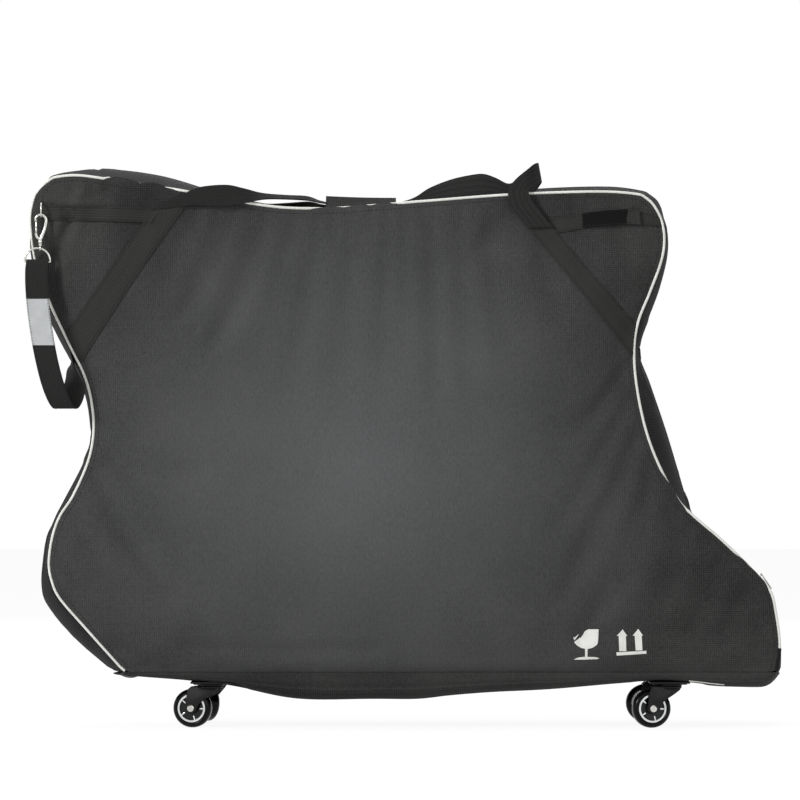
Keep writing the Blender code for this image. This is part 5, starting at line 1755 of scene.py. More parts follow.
@dataclass
class Ribbon:
    """A length of webbing between two edges, given as pairs of points."""

    name: str
    body: str
    rails: Sequence[Rail]
    outward: Sequence[float] = (0.0, -1.0, 0.0)
    look: Finish = WEB
    thickness: float = 0.0019
    ribs: float = 9.0
    rib_height: float = 0.00022
    step: float = 0.005
    rows: int = 36
    edge_stitch: float = 0.0
    boxes: Sequence[float] = ()
    trimmed: bool = False
    seam_limit: float = 0.9985
    room: float = 0.0004
    stitch_pitch: float = 0.0044
    stitch_radius: float = 0.0004
    stitch_room: float = 0.0007
    stitch_seat: float = 0.0001
    shortest_stitch: float = 0.001
    stitch_bend: float = 0.02
    box_half: float = 0.72
    box_ends: tuple[float, float] = (0.004, 0.996)
    halvings: int = 14
    route: list = field(default_factory=list)

    def __post_init__(self) -> None:
        """Work out the ribbon's rows at even steps."""
        edges = [curve_through([pair[end] for pair in self.rails], 10) for end in (0, 1)]
        middles = [(a + b) / 2 for a, b in zip(*edges)]
        lengths = [0.0]
        for a, b in zip(middles, middles[1:]):
            lengths.append(lengths[-1] + (b - a).length)
        self.length = lengths[-1]
        self.width = (edges[0][0] - edges[1][0]).length
        count = max(8, int(self.length / self.step))
        for at, share in even_places(lengths, count):
            self.route.append([edge[at].lerp(edge[at + 1], share) for edge in edges])
        for index, row in enumerate(self.route):
            before, after = self.route[max(index - 1, 0)], self.route[min(index + 1, count)]
            along = after[0] + after[1] - before[0] - before[1]
            row.append(along.cross(row[1] - row[0]).normalized())
        if self.route[0][2].dot(Vector(self.outward)) < 0:
            for row in self.route:
                row[2].negate()

    def point(self, share: float, across: float, lift: float = 0.0) -> Vector:
        """A point by share of the length, share across from -1 to 1, and lift off the middle.

        Args:
            share: the share of the length.
            across: -1 and 1 are the edges.
            lift: how far it stands off the middle.

        Returns:
            The point.
        """
        place = clamp(share) * (len(self.route) - 1)
        low = min(int(place), len(self.route) - 2)
        first, second, normal = (a.lerp(b, place - low) for a, b in zip(self.route[low], self.route[low + 1]))
        return first.lerp(second, (across + 1) / 2) + normal.normalized() * lift

    def within(self, share: float, across: float) -> float:
        """Pull a share of the length back to where the webbing meets the panel's seam.

        Args:
            share: the share of the length.
            across: -1 and 1 are the edges.

        Returns:
            The share that still lies on the panel.
        """
        def beyond(place: float) -> bool:
            """Whether a share of the length is past the panel's seam."""
            spot = self.point(place, across)
            return FORM.edge_share(spot.x, spot.z) > self.seam_limit

        if not self.trimmed or not beyond(share):
            return share
        inner, outer = 0.5, share
        for _ in range(self.halvings):
            middle = (inner + outer) / 2
            if beyond(middle):
                outer = middle
            else:
                inner = middle
        return inner

    def build(self, replaces: Sequence[str] = (), ground: Optional["Ground"] = None) -> Piece:
        """Lay the webbing, rib it, thicken it and sew it.

        Args:
            replaces: the CAD nodes that it stands for.
            ground: what it lies on, which it is kept clear of.

        Returns:
            The webbing's object.
        """
        def place(along: float, share: float) -> Vector:
            """A point of the webbing, with its ribs.

            Args:
                along: the share of the length.
                share: the share of the width.

            Returns:
                The point.
            """
            across = 2 * share - 1
            rib = self.rib_height * math.cos(2 * math.pi * self.ribs * share)
            spot = self.point(self.within(along, across), across, rib)
            return ground.clear(spot, self.thickness / 2 + self.room + rib) if ground else spot

        obj = grid(self.name, len(self.route) - 1, self.rows, place, (self.length, self.width))
        if Vector(obj.data.polygons[0].normal).dot(self.route[0][2]) < 0:
            with edit_mode(obj):
                bpy.ops.mesh.flip_normals()
        thicken(obj, self.thickness)
        smooth(obj, 50.0)
        finish(obj, self.look, self.body, replaces)
        if self.edge_stitch or self.boxes:
            self.sew(ground)
        return obj

    def sew(self, ground: Optional["Ground"]) -> None:
        """Sew along both edges, and a crossed box at each given share of the length.

        Args:
            ground: what the webbing is sewn to, if anything.
        """
        thread = Stitching(f"{self.name}_thread")
        lift = self.thickness / 2 + self.rib_height + self.stitch_seat

        def run(start: tuple[float, float], end: tuple[float, float]) -> None:
            """Sew a straight run of stitches.

            Args:
                start: where it starts, by share and across.
                end: where it ends.
            """
            count = max(1, int((self.point(*end) - self.point(*start)).length / self.stitch_pitch))
            for index in range(count):
                spots = []
                for part in (0.15, 0.85):
                    share = (index + part) / count
                    across = start[1] + (end[1] - start[1]) * share
                    along = self.within(start[0] + (end[0] - start[0]) * share, across)
                    spot = self.point(along, across, lift)
                    spots.append(ground.clear(spot, self.thickness + self.stitch_room) if ground else spot)
                if (spots[1] - spots[0]).length > self.shortest_stitch:
                    thread.add(*spots, self.stitch_radius)

        if self.edge_stitch:
            bends = max(4, int(self.length / self.stitch_bend))
            for edge in (-self.edge_stitch, self.edge_stitch):
                for index in range(bends):
                    run((index / bends, edge), ((index + 1) / bends, edge))
        half, side = self.width * 0.5 / self.length, self.box_half
        for at in self.boxes:
            low, high = max(at - half, self.box_ends[0]), min(at + half, self.box_ends[1])
            a, b, c, d = (low, -side), (low, side), (high, -side), (high, side)
            for start, end in ((a, b), (c, d), (a, d), (b, c), (a, c), (b, d)):
                run(start, end)
        thread.build(self.body)


class Ground:
    """What webbing lies on: finished pieces, met from outside or from above."""

    def __init__(self, side: Side, pieces: Sequence[Piece], from_above: bool = False) -> None:
        """Read the pieces' faces once.

        Args:
            side: the side of the bag.
            pieces: the pieces that make up the ground.
            from_above: whether it is looked for from above instead of from the side.
        """
        verts, faces = [], []
        for piece in pieces:
            start = len(verts)
            verts += [vert.co.copy() for vert in piece.data.vertices]
            faces += [[start + index for index in face.vertices] for face in piece.data.polygons]
        self.side = side
        self.tree = BVHTree.FromPolygons(verts, faces)
        self.outward = Vector((0.0, 0.0, 1.0)) if from_above else Vector((0.0, side.value, 0.0))

    def surface(self, x: float, other: float) -> Optional[Vector]:
        """The outermost point over (x, z), or over (x, y) where it is met from above."""
        start = Vector((x, other, 2.0)) if self.outward.z else Vector((x, 2.0 * self.side.value, other))
        return self.tree.ray_cast(start, -self.outward)[0]

    def clear(self, spot: Vector, lift: float) -> Vector:
        """Move a point outwards until it is a lift clear.

        Args:
            spot: the point.
            lift: the clearance.

        Returns:
            The point, moved where it has to be.
        """
        found = self.surface(spot.x, spot.y if self.outward.z else spot.z)
        if found is None:
            return spot
        return spot + self.outward * max(0.0, lift - (spot - found).dot(self.outward))


def flat_rails(side: Side, ground: Ground, first: Line, second: Line, lift: float) -> list[Rail]:
    """Edges of webbing that lies on a panel, from two lines of (x, z) points.

    Args:
        side: the side of the bag.
        ground: what the webbing lies on.
        first: the line of one edge.
        second: the line of the other edge.
        lift: how far the webbing's middle stands off.

    Returns:
        A pair of points for each step.
    """
    rails = []
    for places in zip(*(even_curve([Vector(point) for point in line], 24) for line in (first, second))):
        pair = []
        for x, z in places:
            found = ground.surface(x, z)
            y = found.y if found is not None else side.value * FORM.seam_depth(x, z)
            pair.append((x, y + side.value * lift, z))
        rails.append(tuple(pair))
    return rails


@dataclass
class Webs:
    """The webbing of one side: diagonal straps, cross straps, and the carrying handle."""

    side: Side
    lift: float = 0.0013
    diagonals: Sequence[tuple[str, Line, Line]] = (
        ("front", ((-0.5480, 0.6160), (-0.5347, 0.6349), (-0.4660, 0.7330), (-0.4024, 0.8237)),
         ((-0.5170, 0.5830), (-0.5037, 0.6035), (-0.4280, 0.7180), (-0.3522, 0.8288))),
        ("rear", ((0.1688, 0.8271), (0.2554, 0.7228), (0.3551, 0.5990), (0.3690, 0.5800)),
         ((0.2116, 0.8238), (0.2830, 0.7360), (0.3599, 0.6475), (0.3860, 0.6180))))
    cross_lines: Sequence[tuple[Line, Line]] = (
        (((-0.5700, 0.8306), (-0.5000, 0.8290), (-0.3900, 0.8252)),
         ((-0.5700, 0.8073), (-0.5000, 0.8052), (-0.4040, 0.8030))),
        (((0.2100, 0.8108), (0.2800, 0.8197), (0.3515, 0.8262), (0.3706, 0.8245), (0.4060, 0.8150)),
         ((0.2200, 0.7850), (0.2816, 0.7965), (0.3515, 0.8036), (0.3754, 0.8020), (0.4060, 0.8000))))
    front_web: Sequence[Rail] = (
        ((-0.4024, -0.2030, 0.8237), (-0.3522, -0.1960, 0.8288)),
        ((-0.3890, -0.1995, 0.8334), (-0.3458, -0.1955, 0.8303)),
        ((-0.3728, -0.1970, 0.8400), (-0.3379, -0.1950, 0.8305)),
        ((-0.3527, -0.1945, 0.8493), (-0.3269, -0.1935, 0.8305)),
        ((-0.3287, -0.1915, 0.8597), (-0.3112, -0.1910, 0.8297)),
        ((-0.2870, -0.1840, 0.8639), (-0.2829, -0.1870, 0.8307)),
        ((-0.2604, -0.1760, 0.8590), (-0.2563, -0.1830, 0.8351)),
        ((-0.2309, -0.1500, 0.8525), (-0.2267, -0.1640, 0.8420)),
        ((-0.1951, -0.1100, 0.8514), (-0.1911, -0.1300, 0.8440)),
        ((-0.1604, -0.0750, 0.8515), (-0.1583, -0.0950, 0.8440)),
        ((-0.1400, -0.0500, 0.8457), (-0.1395, -0.0700, 0.8420)),
        ((-0.1176, -0.0350, 0.8417), (-0.1173, -0.0500, 0.8400)))
    rear_web: Sequence[Rail] = (
        ((-0.0239, -0.0300, 0.8433), (-0.0239, -0.0420, 0.8330)),
        ((-0.0045, -0.0400, 0.8460), (-0.0046, -0.0480, 0.8343)),
        ((0.0148, -0.0500, 0.8527), (0.0148, -0.0560, 0.8386)),
        ((0.0373, -0.0560, 0.8668), (0.0372, -0.0640, 0.8414)),
        ((0.0726, -0.0650, 0.8799), (0.0725, -0.0760, 0.8439)),
        ((0.1078, -0.0760, 0.8868), (0.1077, -0.0860, 0.8466)),
        ((0.1255, -0.0810, 0.8872), (0.1250, -0.0900, 0.8474)),
        ((0.1440, -0.0850, 0.8805), (0.1400, -0.0930, 0.8478)),
        ((0.1625, -0.0880, 0.8715), (0.1640, -0.0960, 0.8470)),
        ((0.1765, -0.0890, 0.8775), (0.1830, -0.0960, 0.8480)),
        ((0.1925, -0.0900, 0.8925), (0.2030, -0.0965, 0.8560)),
        ((0.2095, -0.1080, 0.9020), (0.2155, -0.1010, 0.8720)),
        ((0.2040, -0.1240, 0.9010), (0.2105, -0.1150, 0.8690)),
        ((0.1906, -0.1340, 0.8900), (0.1975, -0.1350, 0.8610)),
        ((0.1737, -0.1380, 0.8754), (0.1936, -0.1405, 0.8545)),
        ((0.1617, -0.1395, 0.8593), (0.1965, -0.1425, 0.8464)),
        ((0.1633, -0.1415, 0.8416), (0.2022, -0.1440, 0.8367)),
        ((0.1688, -0.1430, 0.8271), (0.2116, -0.1455, 0.8238)),
        ((0.1810, -0.1450, 0.8124), (0.2215, -0.1470, 0.8116)),
        ((0.1935, -0.1465, 0.7974), (0.2315, -0.1485, 0.7993)))
    bends: Sequence[tuple] = (
        ((-0.300, -0.190, 0.85), (-0.200, -0.120, 0.85)), ((0.170, -0.146, 0.850), (0.170, -0.118, 0.885)))
    far_peak: float = 0.872
    far_share: float = 0.15

    def build(self, panel: Piece, gusset: Piece) -> None:
        """Lay every strap of this side, then its handle.

        Args:
            panel: this side's panel.
            gusset: this side's gusset.
        """
        label = self.side.label
        crosses = self.cross_straps(Ground(self.side, [panel])) if self.side is Side.NEAR else []
        ground = Ground(self.side, [panel, *crosses])
        for end, first, second in self.diagonals:
            rails = flat_rails(self.side, ground, first, second, self.lift)
            strap = Ribbon(f"{label}_{end}_webbing", self.side.body, rails, (0.0, self.side.value, 0.0),
                           edge_stitch=0.84, trimmed=True)
            strap.build([f"{label}_{end}_strap"], ground)
        self.handle(Ground(self.side, [gusset], from_above=True))

    def mirrored(self, rails: Sequence[Rail]) -> list[Rail]:
        """The same edges on this side of the bag, kept low on the far side.

        Args:
            rails: the edges on the near side.

        Returns:
            The edges on this side.
        """
        if self.side is Side.NEAR:
            return list(rails)

        def turn(point: Sequence[float]) -> tuple[float, float, float]:
            """Turn a near point over to the far side.

            Args:
                point: the near point.

            Returns:
                The far point.
            """
            x, y, z = point
            spare = max(0.0, z - self.far_peak)
            return (x, -y, z - spare + self.far_share * spare)

        return [(turn(first), turn(second)) for first, second in rails]

    def handle(self, ground: Ground) -> None:
        """The handle in two lengths of webbing, each sewn to a strap, then taken off its body with its place
        baked into the mesh.

        Args:
            ground: what the handle lies on.
        """
        label, body, sign = self.side.label, f"{self.side.label}_handle", -self.side.value
        parts = (("front", self.front_web, 0.005, [f"{label}_handle"]), ("rear", self.rear_web, 0.004, []))
        for (name, web, step, replaced), places in zip(parts, self.bends):
            piece = Ribbon(f"{label}_handle_{name}", body, self.mirrored(web), (0.0, self.side.value, 0.0),
                           look=HANDLE_WEB, step=step).build(replaced, ground)
            piece.parent = None
            start, end = ((x, y * sign, z) for x, y, z in places)
            self.side.body
            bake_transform(piece)
            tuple(start)
            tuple(end)

    def cross_straps(self, ground: Ground) -> list[Piece]:
        """The narrow straps of the near side: one to the ring, one with its hook-and-loop patch.

        Args:
            ground: what the straps lie on.

        Returns:
            The straps.
        """
        result = []
        for end, lines, lift, more in (("front", self.cross_lines[0], 0.0030, {"boxes": (0.20,)}),
                                       ("rear", self.cross_lines[1], self.lift, {"trimmed": True})):
            rails = flat_rails(self.side, ground, *lines, lift)
            strap = Ribbon(f"near_{end}_cross_webbing", self.side.body, rails, ribs=6.0, rows=26,
                           edge_stitch=0.80, **more)
            result.append(strap.build([f"near_{end}_cross_strap"], ground))
        return result


@dataclass
class PatchStrap:
    """The rear cross strap's closing: a hook-and-loop patch with a folded pull end."""

    end_rise: float = 0.0034
    end_curl: float = 1.5
    tip_shift: tuple[float, float] = (0.0004, 0.0026)
    back_shift: tuple[float, float] = (-0.006, 0.0034)

    def build(self, ground: Ground) -> None:
        """Lay the patch on the cross strap, and fold the end over.

        Args:
            ground: what the patch lies on.
        """
        rails = flat_rails(Side.NEAR, ground, ((0.2798, 0.8204), (0.3150, 0.8243), (0.3520, 0.8272)),
                           ((0.2806, 0.7985), (0.3150, 0.8010), (0.3520, 0.8038)), 0.0030)
        Ribbon("hook_and_loop_patch", "near_side", rails, look=HOOKS, thickness=0.0026, ribs=3.0,
               rib_height=0.0001, rows=20, edge_stitch=0.90).build(ground=ground)
        rails = flat_rails(Side.NEAR, ground, ((0.3505, 0.8272), (0.3610, 0.8268), (0.3700, 0.8256)),
                           ((0.3505, 0.8040), (0.3620, 0.8036), (0.3720, 0.8022)), 0.0034)
        lifted = []
        for index, pair in enumerate(rails):
            rise = self.end_rise * (index / (len(rails) - 1)) ** self.end_curl
            lifted.append(tuple((x, y - rise, z) for x, y, z in pair))
        folded = []
        for pair, (dx, dy) in ((lifted[-1], self.tip_shift), (lifted[-2], self.back_shift)):
            folded.append(tuple((x + dx, y + dy, z) for x, y, z in pair))
        Ribbon("cross_strap_pull_end", "near_side", lifted[::4] + folded, ribs=6.0, rows=20,
               thickness=0.0017, step=0.0015, edge_stitch=0.80).build()


@dataclass
class GripWrap:
    """The padded wrap at the middle of a handle, closed with a long flap."""

    side: Side
    centre_x: float = -0.0740
    length: float = 0.1130
    y: float = 0.0280
    low: float = 0.0004
    half_width: float = 0.0105
    tops: tuple[float, float] = (0.8530, 0.8500)
    flap_reach: float = 0.030
    squareness: float = 0.55
    puff: float = 0.05
    rounding: float = 0.0012
    bare_height: float = 0.84
    least_height: float = 0.005
    flap_steps: int = 8
    flap_gap: float = 0.0016
    flap_rise: float = 0.0006
    flap_lift: float = 0.0012
    flap_dip: float = 0.0008

    def build(self, gusset: Piece) -> None:
        """Roll the wrap round the webbing, and lay its flap.

        Args:
            gusset: this side's gusset, which the flap lies on.
        """
        ground = Ground(self.side, [gusset], from_above=True)
        sign = self.side.value
        label = self.side.label

        def section(along: float) -> tuple[float, float, float]:
            """Measure the wrap at one place.

            Args:
                along: the share of its length.

            Returns:
                The place's x, the wrap's lowest height and how tall it is.
            """
            x = self.centre_x + (along - 0.5) * self.length
            found = ground.surface(x, sign * self.y)
            base = (found.z if found else self.bare_height) + self.low
            top = self.tops[0] + (self.tops[1] - self.tops[0]) * along
            return x, base, max(top - base, self.least_height)

        def place(along: float, around: float) -> Vector:
            """A point of the wrap's surface.

            Args:
                along: the share of its length.
                around: the share of the way round.

            Returns:
                The point.
            """
            x, base, height = section(along)
            angle = 2 * math.pi * around
            cosine, sine = math.cos(angle), math.sin(angle)
            y = math.copysign(abs(cosine) ** self.squareness, cosine) * self.half_width
            z = math.copysign(abs(sine) ** self.squareness, sine) * height / 2
            puff = 1 + self.puff * math.sin(6 * math.pi * along) * math.cos(2 * angle)
            return Vector((x, sign * self.y + y * puff, base + height / 2 + z))

        wrap = tidy_edit(grid(f"{label}_grip_wrap", 60, 44, place, (self.length, 0.06)), fill=True)
        round_edges(wrap, self.rounding, 50)
        finish(smooth(wrap, 60.0), GUSSET_CANVAS, f"{label}_handle")
        rails = []
        for share in (step / self.flap_steps for step in range(self.flap_steps + 1)):
            x, base, height = section(share)
            y = sign * (self.y + self.half_width + self.flap_gap)
            foot = y + sign * self.flap_reach
            found = ground.surface(x, foot)
            high = base + height + self.flap_rise - self.flap_dip * math.sin(math.pi * share)
            rails.append(((x, y, high), (x, foot, (found.z if found else base) + self.flap_lift)))
        Ribbon(f"{label}_grip_flap", f"{label}_handle", rails, (0.0, sign, 0.0), look=FLAP_CANVAS,
               thickness=0.0016, ribs=1.0, rib_height=0.0002, rows=12, edge_stitch=0.86).build()


@dataclass
class FrontMetal:
    """The ring, snap hook, D-ring and pull strap at the near front edge."""

    ring_at: tuple[float, float] = (-0.48651, 0.92973)
    ring_wire: float = 0.0013
    ring_height: float = 0.0255
    ring_reach: float = 0.015
    hook_wire: float = 0.0024
    hook_length: float = 0.044
    hook_offset: tuple[float, float, float] = (-0.0015, -0.0065, 0.0051)
    eye_drop: float = 0.0085
    eye_radius: float = 0.0036
    eye_wire: float = 0.0011
    d_wire: float = 0.0016
    d_width: float = 0.0400
    d_height: float = 0.0215
    strap_width: float = 0.0355
    bow: Line = (
        (-0.0068, -0.0105), (-0.0078, -0.0060), (-0.0045, -0.0012), (0.0010, 0.0), (0.0060, -0.0020),
        (0.0090, -0.0070), (0.0084, -0.0150), (0.0062, -0.0240), (0.0030, -0.0320), (0.0004, -0.0385))
    heel: Line = (
        (-0.0066, -0.0281), (-0.0066, -0.0310), (-0.0050, -0.0350), (-0.0008, -0.0380))
    gate: Line = ((-0.0066, -0.0262), (-0.0068, -0.0114))
    d_side: float = 0.0045
    pull_route: Sequence[tuple] = (
        ((-0.0015, 0.0, -0.016), (1, 0, 0)), ((-0.001, 0.002, -0.045), (1, 0, 0)),
        ((0.0025, 0.006, -0.085), (1, 0, 0)), ((0.0105, 0.010, -0.138), (1, 0, 0)),
        ((0.021, 0.017, -0.185), (1, 0, 0.05)), ((0.032, 0.026, -0.217), (1, 0, 0.05)),
        ((0.0415, 0.036, -0.2305), (1, -0.03, 0)), ((0.050, 0.043, -0.222), (1, -0.06, 0)),
        ((0.055, 0.048, -0.200), (1, -0.10, 0)), ((0.0530, 0.056, -0.184), (0.70, -0.70, 0)),
        ((0.0495, 0.066, -0.168), (0.40, -0.92, 0)), ((0.0495, 0.0799, -0.148), (-0.106, -0.857, 0.503)))
    patch_span: tuple[float, float] = (-0.0585, -0.1345)
    hook_room: float = 0.0046
    ring_lift: float = 0.0015
    ring_squareness: float = 0.8
    d_squareness: float = 0.9
    keeper_gap: float = 0.0002
    keeper_reach: float = 0.0013
    fold_reach: float = 0.0016
    patch_inset: float = 0.0003
    patch_lift: float = 0.0018

    def loop(self, name: str, centre: Vector, along: Vector, out: Vector, half: float, reach: float,
             radius: float, squareness: float) -> None:
        """A ring with a flat bar and a bow, as round wire.

        Args:
            name: the piece's name.
            centre: the middle of the bar.
            along: the bar's direction.
            out: the direction of the bow.
            half: half the bar's length.
            reach: how far the bow stands out.
            radius: the wire's radius.
            squareness: the bow's power, 1 for an ellipse.
        """
        route = [centre + along * half * (2 * step / 16 - 1) for step in range(17)]
        for step in range(1, 36):
            turn = math.pi * step / 36
            route.append(centre + along * half * math.cos(turn) + out * reach * math.sin(turn) ** squareness)
        finish(wire(name, route, radius, closed=True), CHROME, "near_side", [name.replace("_wire", "")])

    def build(self) -> None:
        """Make the metalwork from the ring down, and hang the pull strap from it."""
        x, z = FORM.point(self.ring_at)
        ring = Vector((x, -(FORM.panel_depth(x, z) + 2 * SEAT_GAP + self.ring_lift), z))
        right, forward = Vector((1.0, 0.0, 0.0)), Vector((0.0, -1.0, 0.0))
        half, inner = self.ring_height / 2, self.eye_radius
        self.loop("strap_ring_wire", ring, UP, forward, half, self.ring_reach, self.ring_wire,
                  self.ring_squareness)
        top = ring + Vector(self.hook_offset) - UP * self.ring_height / 2
        self.hook(top)
        eye = top - UP * self.hook_length - UP * self.eye_drop
        turns = [2 * math.pi * step / 40 for step in range(40)]
        circle = [eye + inner * (math.cos(turn) * forward + math.sin(turn) * UP) for turn in turns]
        ring_eye = wire("hook_eye_loop", circle, self.eye_wire, 12, closed=True)
        post_top = self.eye_drop - SEAT_GAP
        profile = [(inner - 0.0006, 0.0), (inner - 0.0004, 0.0021), (inner + 0.0008, 0.0026),
                   (post_top - 0.0005, 0.0026), (post_top, 0.0021), (post_top, 0.0)]
        post = turned("hook_eye_post", profile, eye, UP, 28)
        finish(join("hook_eye_swivel", [ring_eye, post]), CHROME, "near_side", ["hook_eye"])
        bar = eye - right * self.d_side - UP * self.d_height
        self.loop("d_ring_wire", bar, right, UP, self.d_width / 2, self.d_height, self.d_wire,
                  self.d_squareness)
        self.strap(bar)
        self.ring_keeper(ring)

    def hook(self, top: Vector) -> None:
        """The snap hook's bow, heel and swivel post, and its gate on its own body.

        Args:
            top: the top of the hook.
        """
        def spot(pair: Sequence[float]) -> Vector:
            """A point of the hook, measured from its top."""
            return top + Vector((pair[0], 0.0, pair[1]))

        bow = curve_through([spot(pair) for pair in self.bow], 6)
        radii = [self.hook_wire * (0.70 + 0.56 * step / (len(bow) - 1)) for step in range(len(bow))]
        heel = curve_through([spot(pair) for pair in self.heel], 6)
        at = self.hook_length
        profile = [(at - up, out) for up, out in (
            (0.0085, 0.0), (0.0085, 0.0020), (0.0068, 0.0034), (0.0056, 0.0035), (0.0042, 0.0027),
            (0.0030, 0.0034), (0.0006, 0.0034), (0.0, 0.0026), (0.0, 0.0))]
        parts = [wire("bow", bow, radii, 16), wire("heel", heel, 0.0021, 14),
                 turned("post", profile, top, Vector((0.0, 0.0, -1.0)), 28)]
        finish(join("snap_hook_body", parts), CHROME, "snap_hook", ["snap_hook"])
        foot, tip = (spot(pair) for pair in self.gate)
        along = tip - foot
        end = along.length
        profile = [(-0.0016, 0.0), (-0.0012, 0.0010), (0.0, 0.0016), (0.0040, 0.0016), (0.0050, 0.0013),
                   (end - 0.0012, 0.0013), (end - 0.0003, 0.0010), (end, 0.0)]
        gate = turned("snap_hook_latch", profile, foot, along, 24)
        profile = [(0.0, 0.0), (0.0, 0.0010), (0.0020, 0.0009), (0.0026, 0.0014), (0.0034, 0.0011),
                   (0.0036, 0.0)]
        knob = turned("latch_knob", profile, foot + along * 0.45, Vector((0.0, -1.0, 0.0)), 20)
        finish(join("snap_hook_latch", [gate, knob]), CHROME, "snap_hook_gate", ["snap_hook_gate"])

    def ring_keeper(self, ring: Vector) -> None:
        """The end of the cross strap, folded round the ring's bar.

        Args:
            ring: the middle of the ring's bar.
        """
        half = self.ring_height / 2 - self.ring_wire - self.keeper_gap
        reach = self.ring_wire + self.keeper_reach
        rails = []
        for dx, dy in ((0.0170, -0.0030), (0.0110, -0.0032), (0.0050, -0.0028), (0.0016, -reach),
                       (-0.0010, -reach * 0.9), (-reach, 0.0), (-0.0012, reach * 0.62), (0.0030, 0.0012)):
            x, y = ring.x + dx, ring.y + dy
            rails.append(((x, y, ring.z + half), (x, y, ring.z - half + self.hook_room)))
        Ribbon("ring_keeper_webbing", "near_side", rails, ribs=6.0, rows=26, step=0.0012,
               thickness=0.0016).build()

    def strap(self, bar: Vector) -> None:
        """The pull strap: round the D-ring's bar, down, and folded back up to the bag.

        Args:
            bar: the middle of the D-ring's bar.
        """
        reach = self.d_wire + self.fold_reach
        places = [(bar + Vector((0.0, reach, drop)), (1, 0, 0)) for drop in (-0.014, -0.005)]
        for turn in (math.pi * step / 4 for step in range(5)):
            places.append((bar + reach * Vector((0.0, math.cos(turn), math.sin(turn))), (1, 0, 0)))
        start = bar - Vector((0.0, reach, 0.0))
        places += [(start + Vector(place), across) for place, across in self.pull_route]
        rails = []
        for centre, across in places:
            half = Vector(across).normalized() * self.strap_width / 2
            rails.append((centre - half, centre + half))
        Ribbon("pull_strap_webbing", "near_side", rails, (0.0, 1.0, 0.0), look=HANDLE_WEB, rows=34,
               step=0.003, edge_stitch=0.86).build(["pull_strap"])
        middle = curve_through([place for place, _ in self.pull_route], 16)
        high, low = self.patch_span
        half = Vector((self.strap_width / 2 - self.patch_inset, 0.0, 0.0))
        lift = Vector((0.0, -self.patch_lift, 0.0))
        fronts = [start + spot + lift for spot in middle[:64] if low <= spot.z <= high]
        Ribbon("reflective_patch", "near_side", [(front - half, front + half) for front in fronts[::3]],
               look=REFLECTIVE, thickness=0.0007, ribs=1.0, rib_height=0.00003, rows=12, step=0.003,
               edge_stitch=0.92).build()


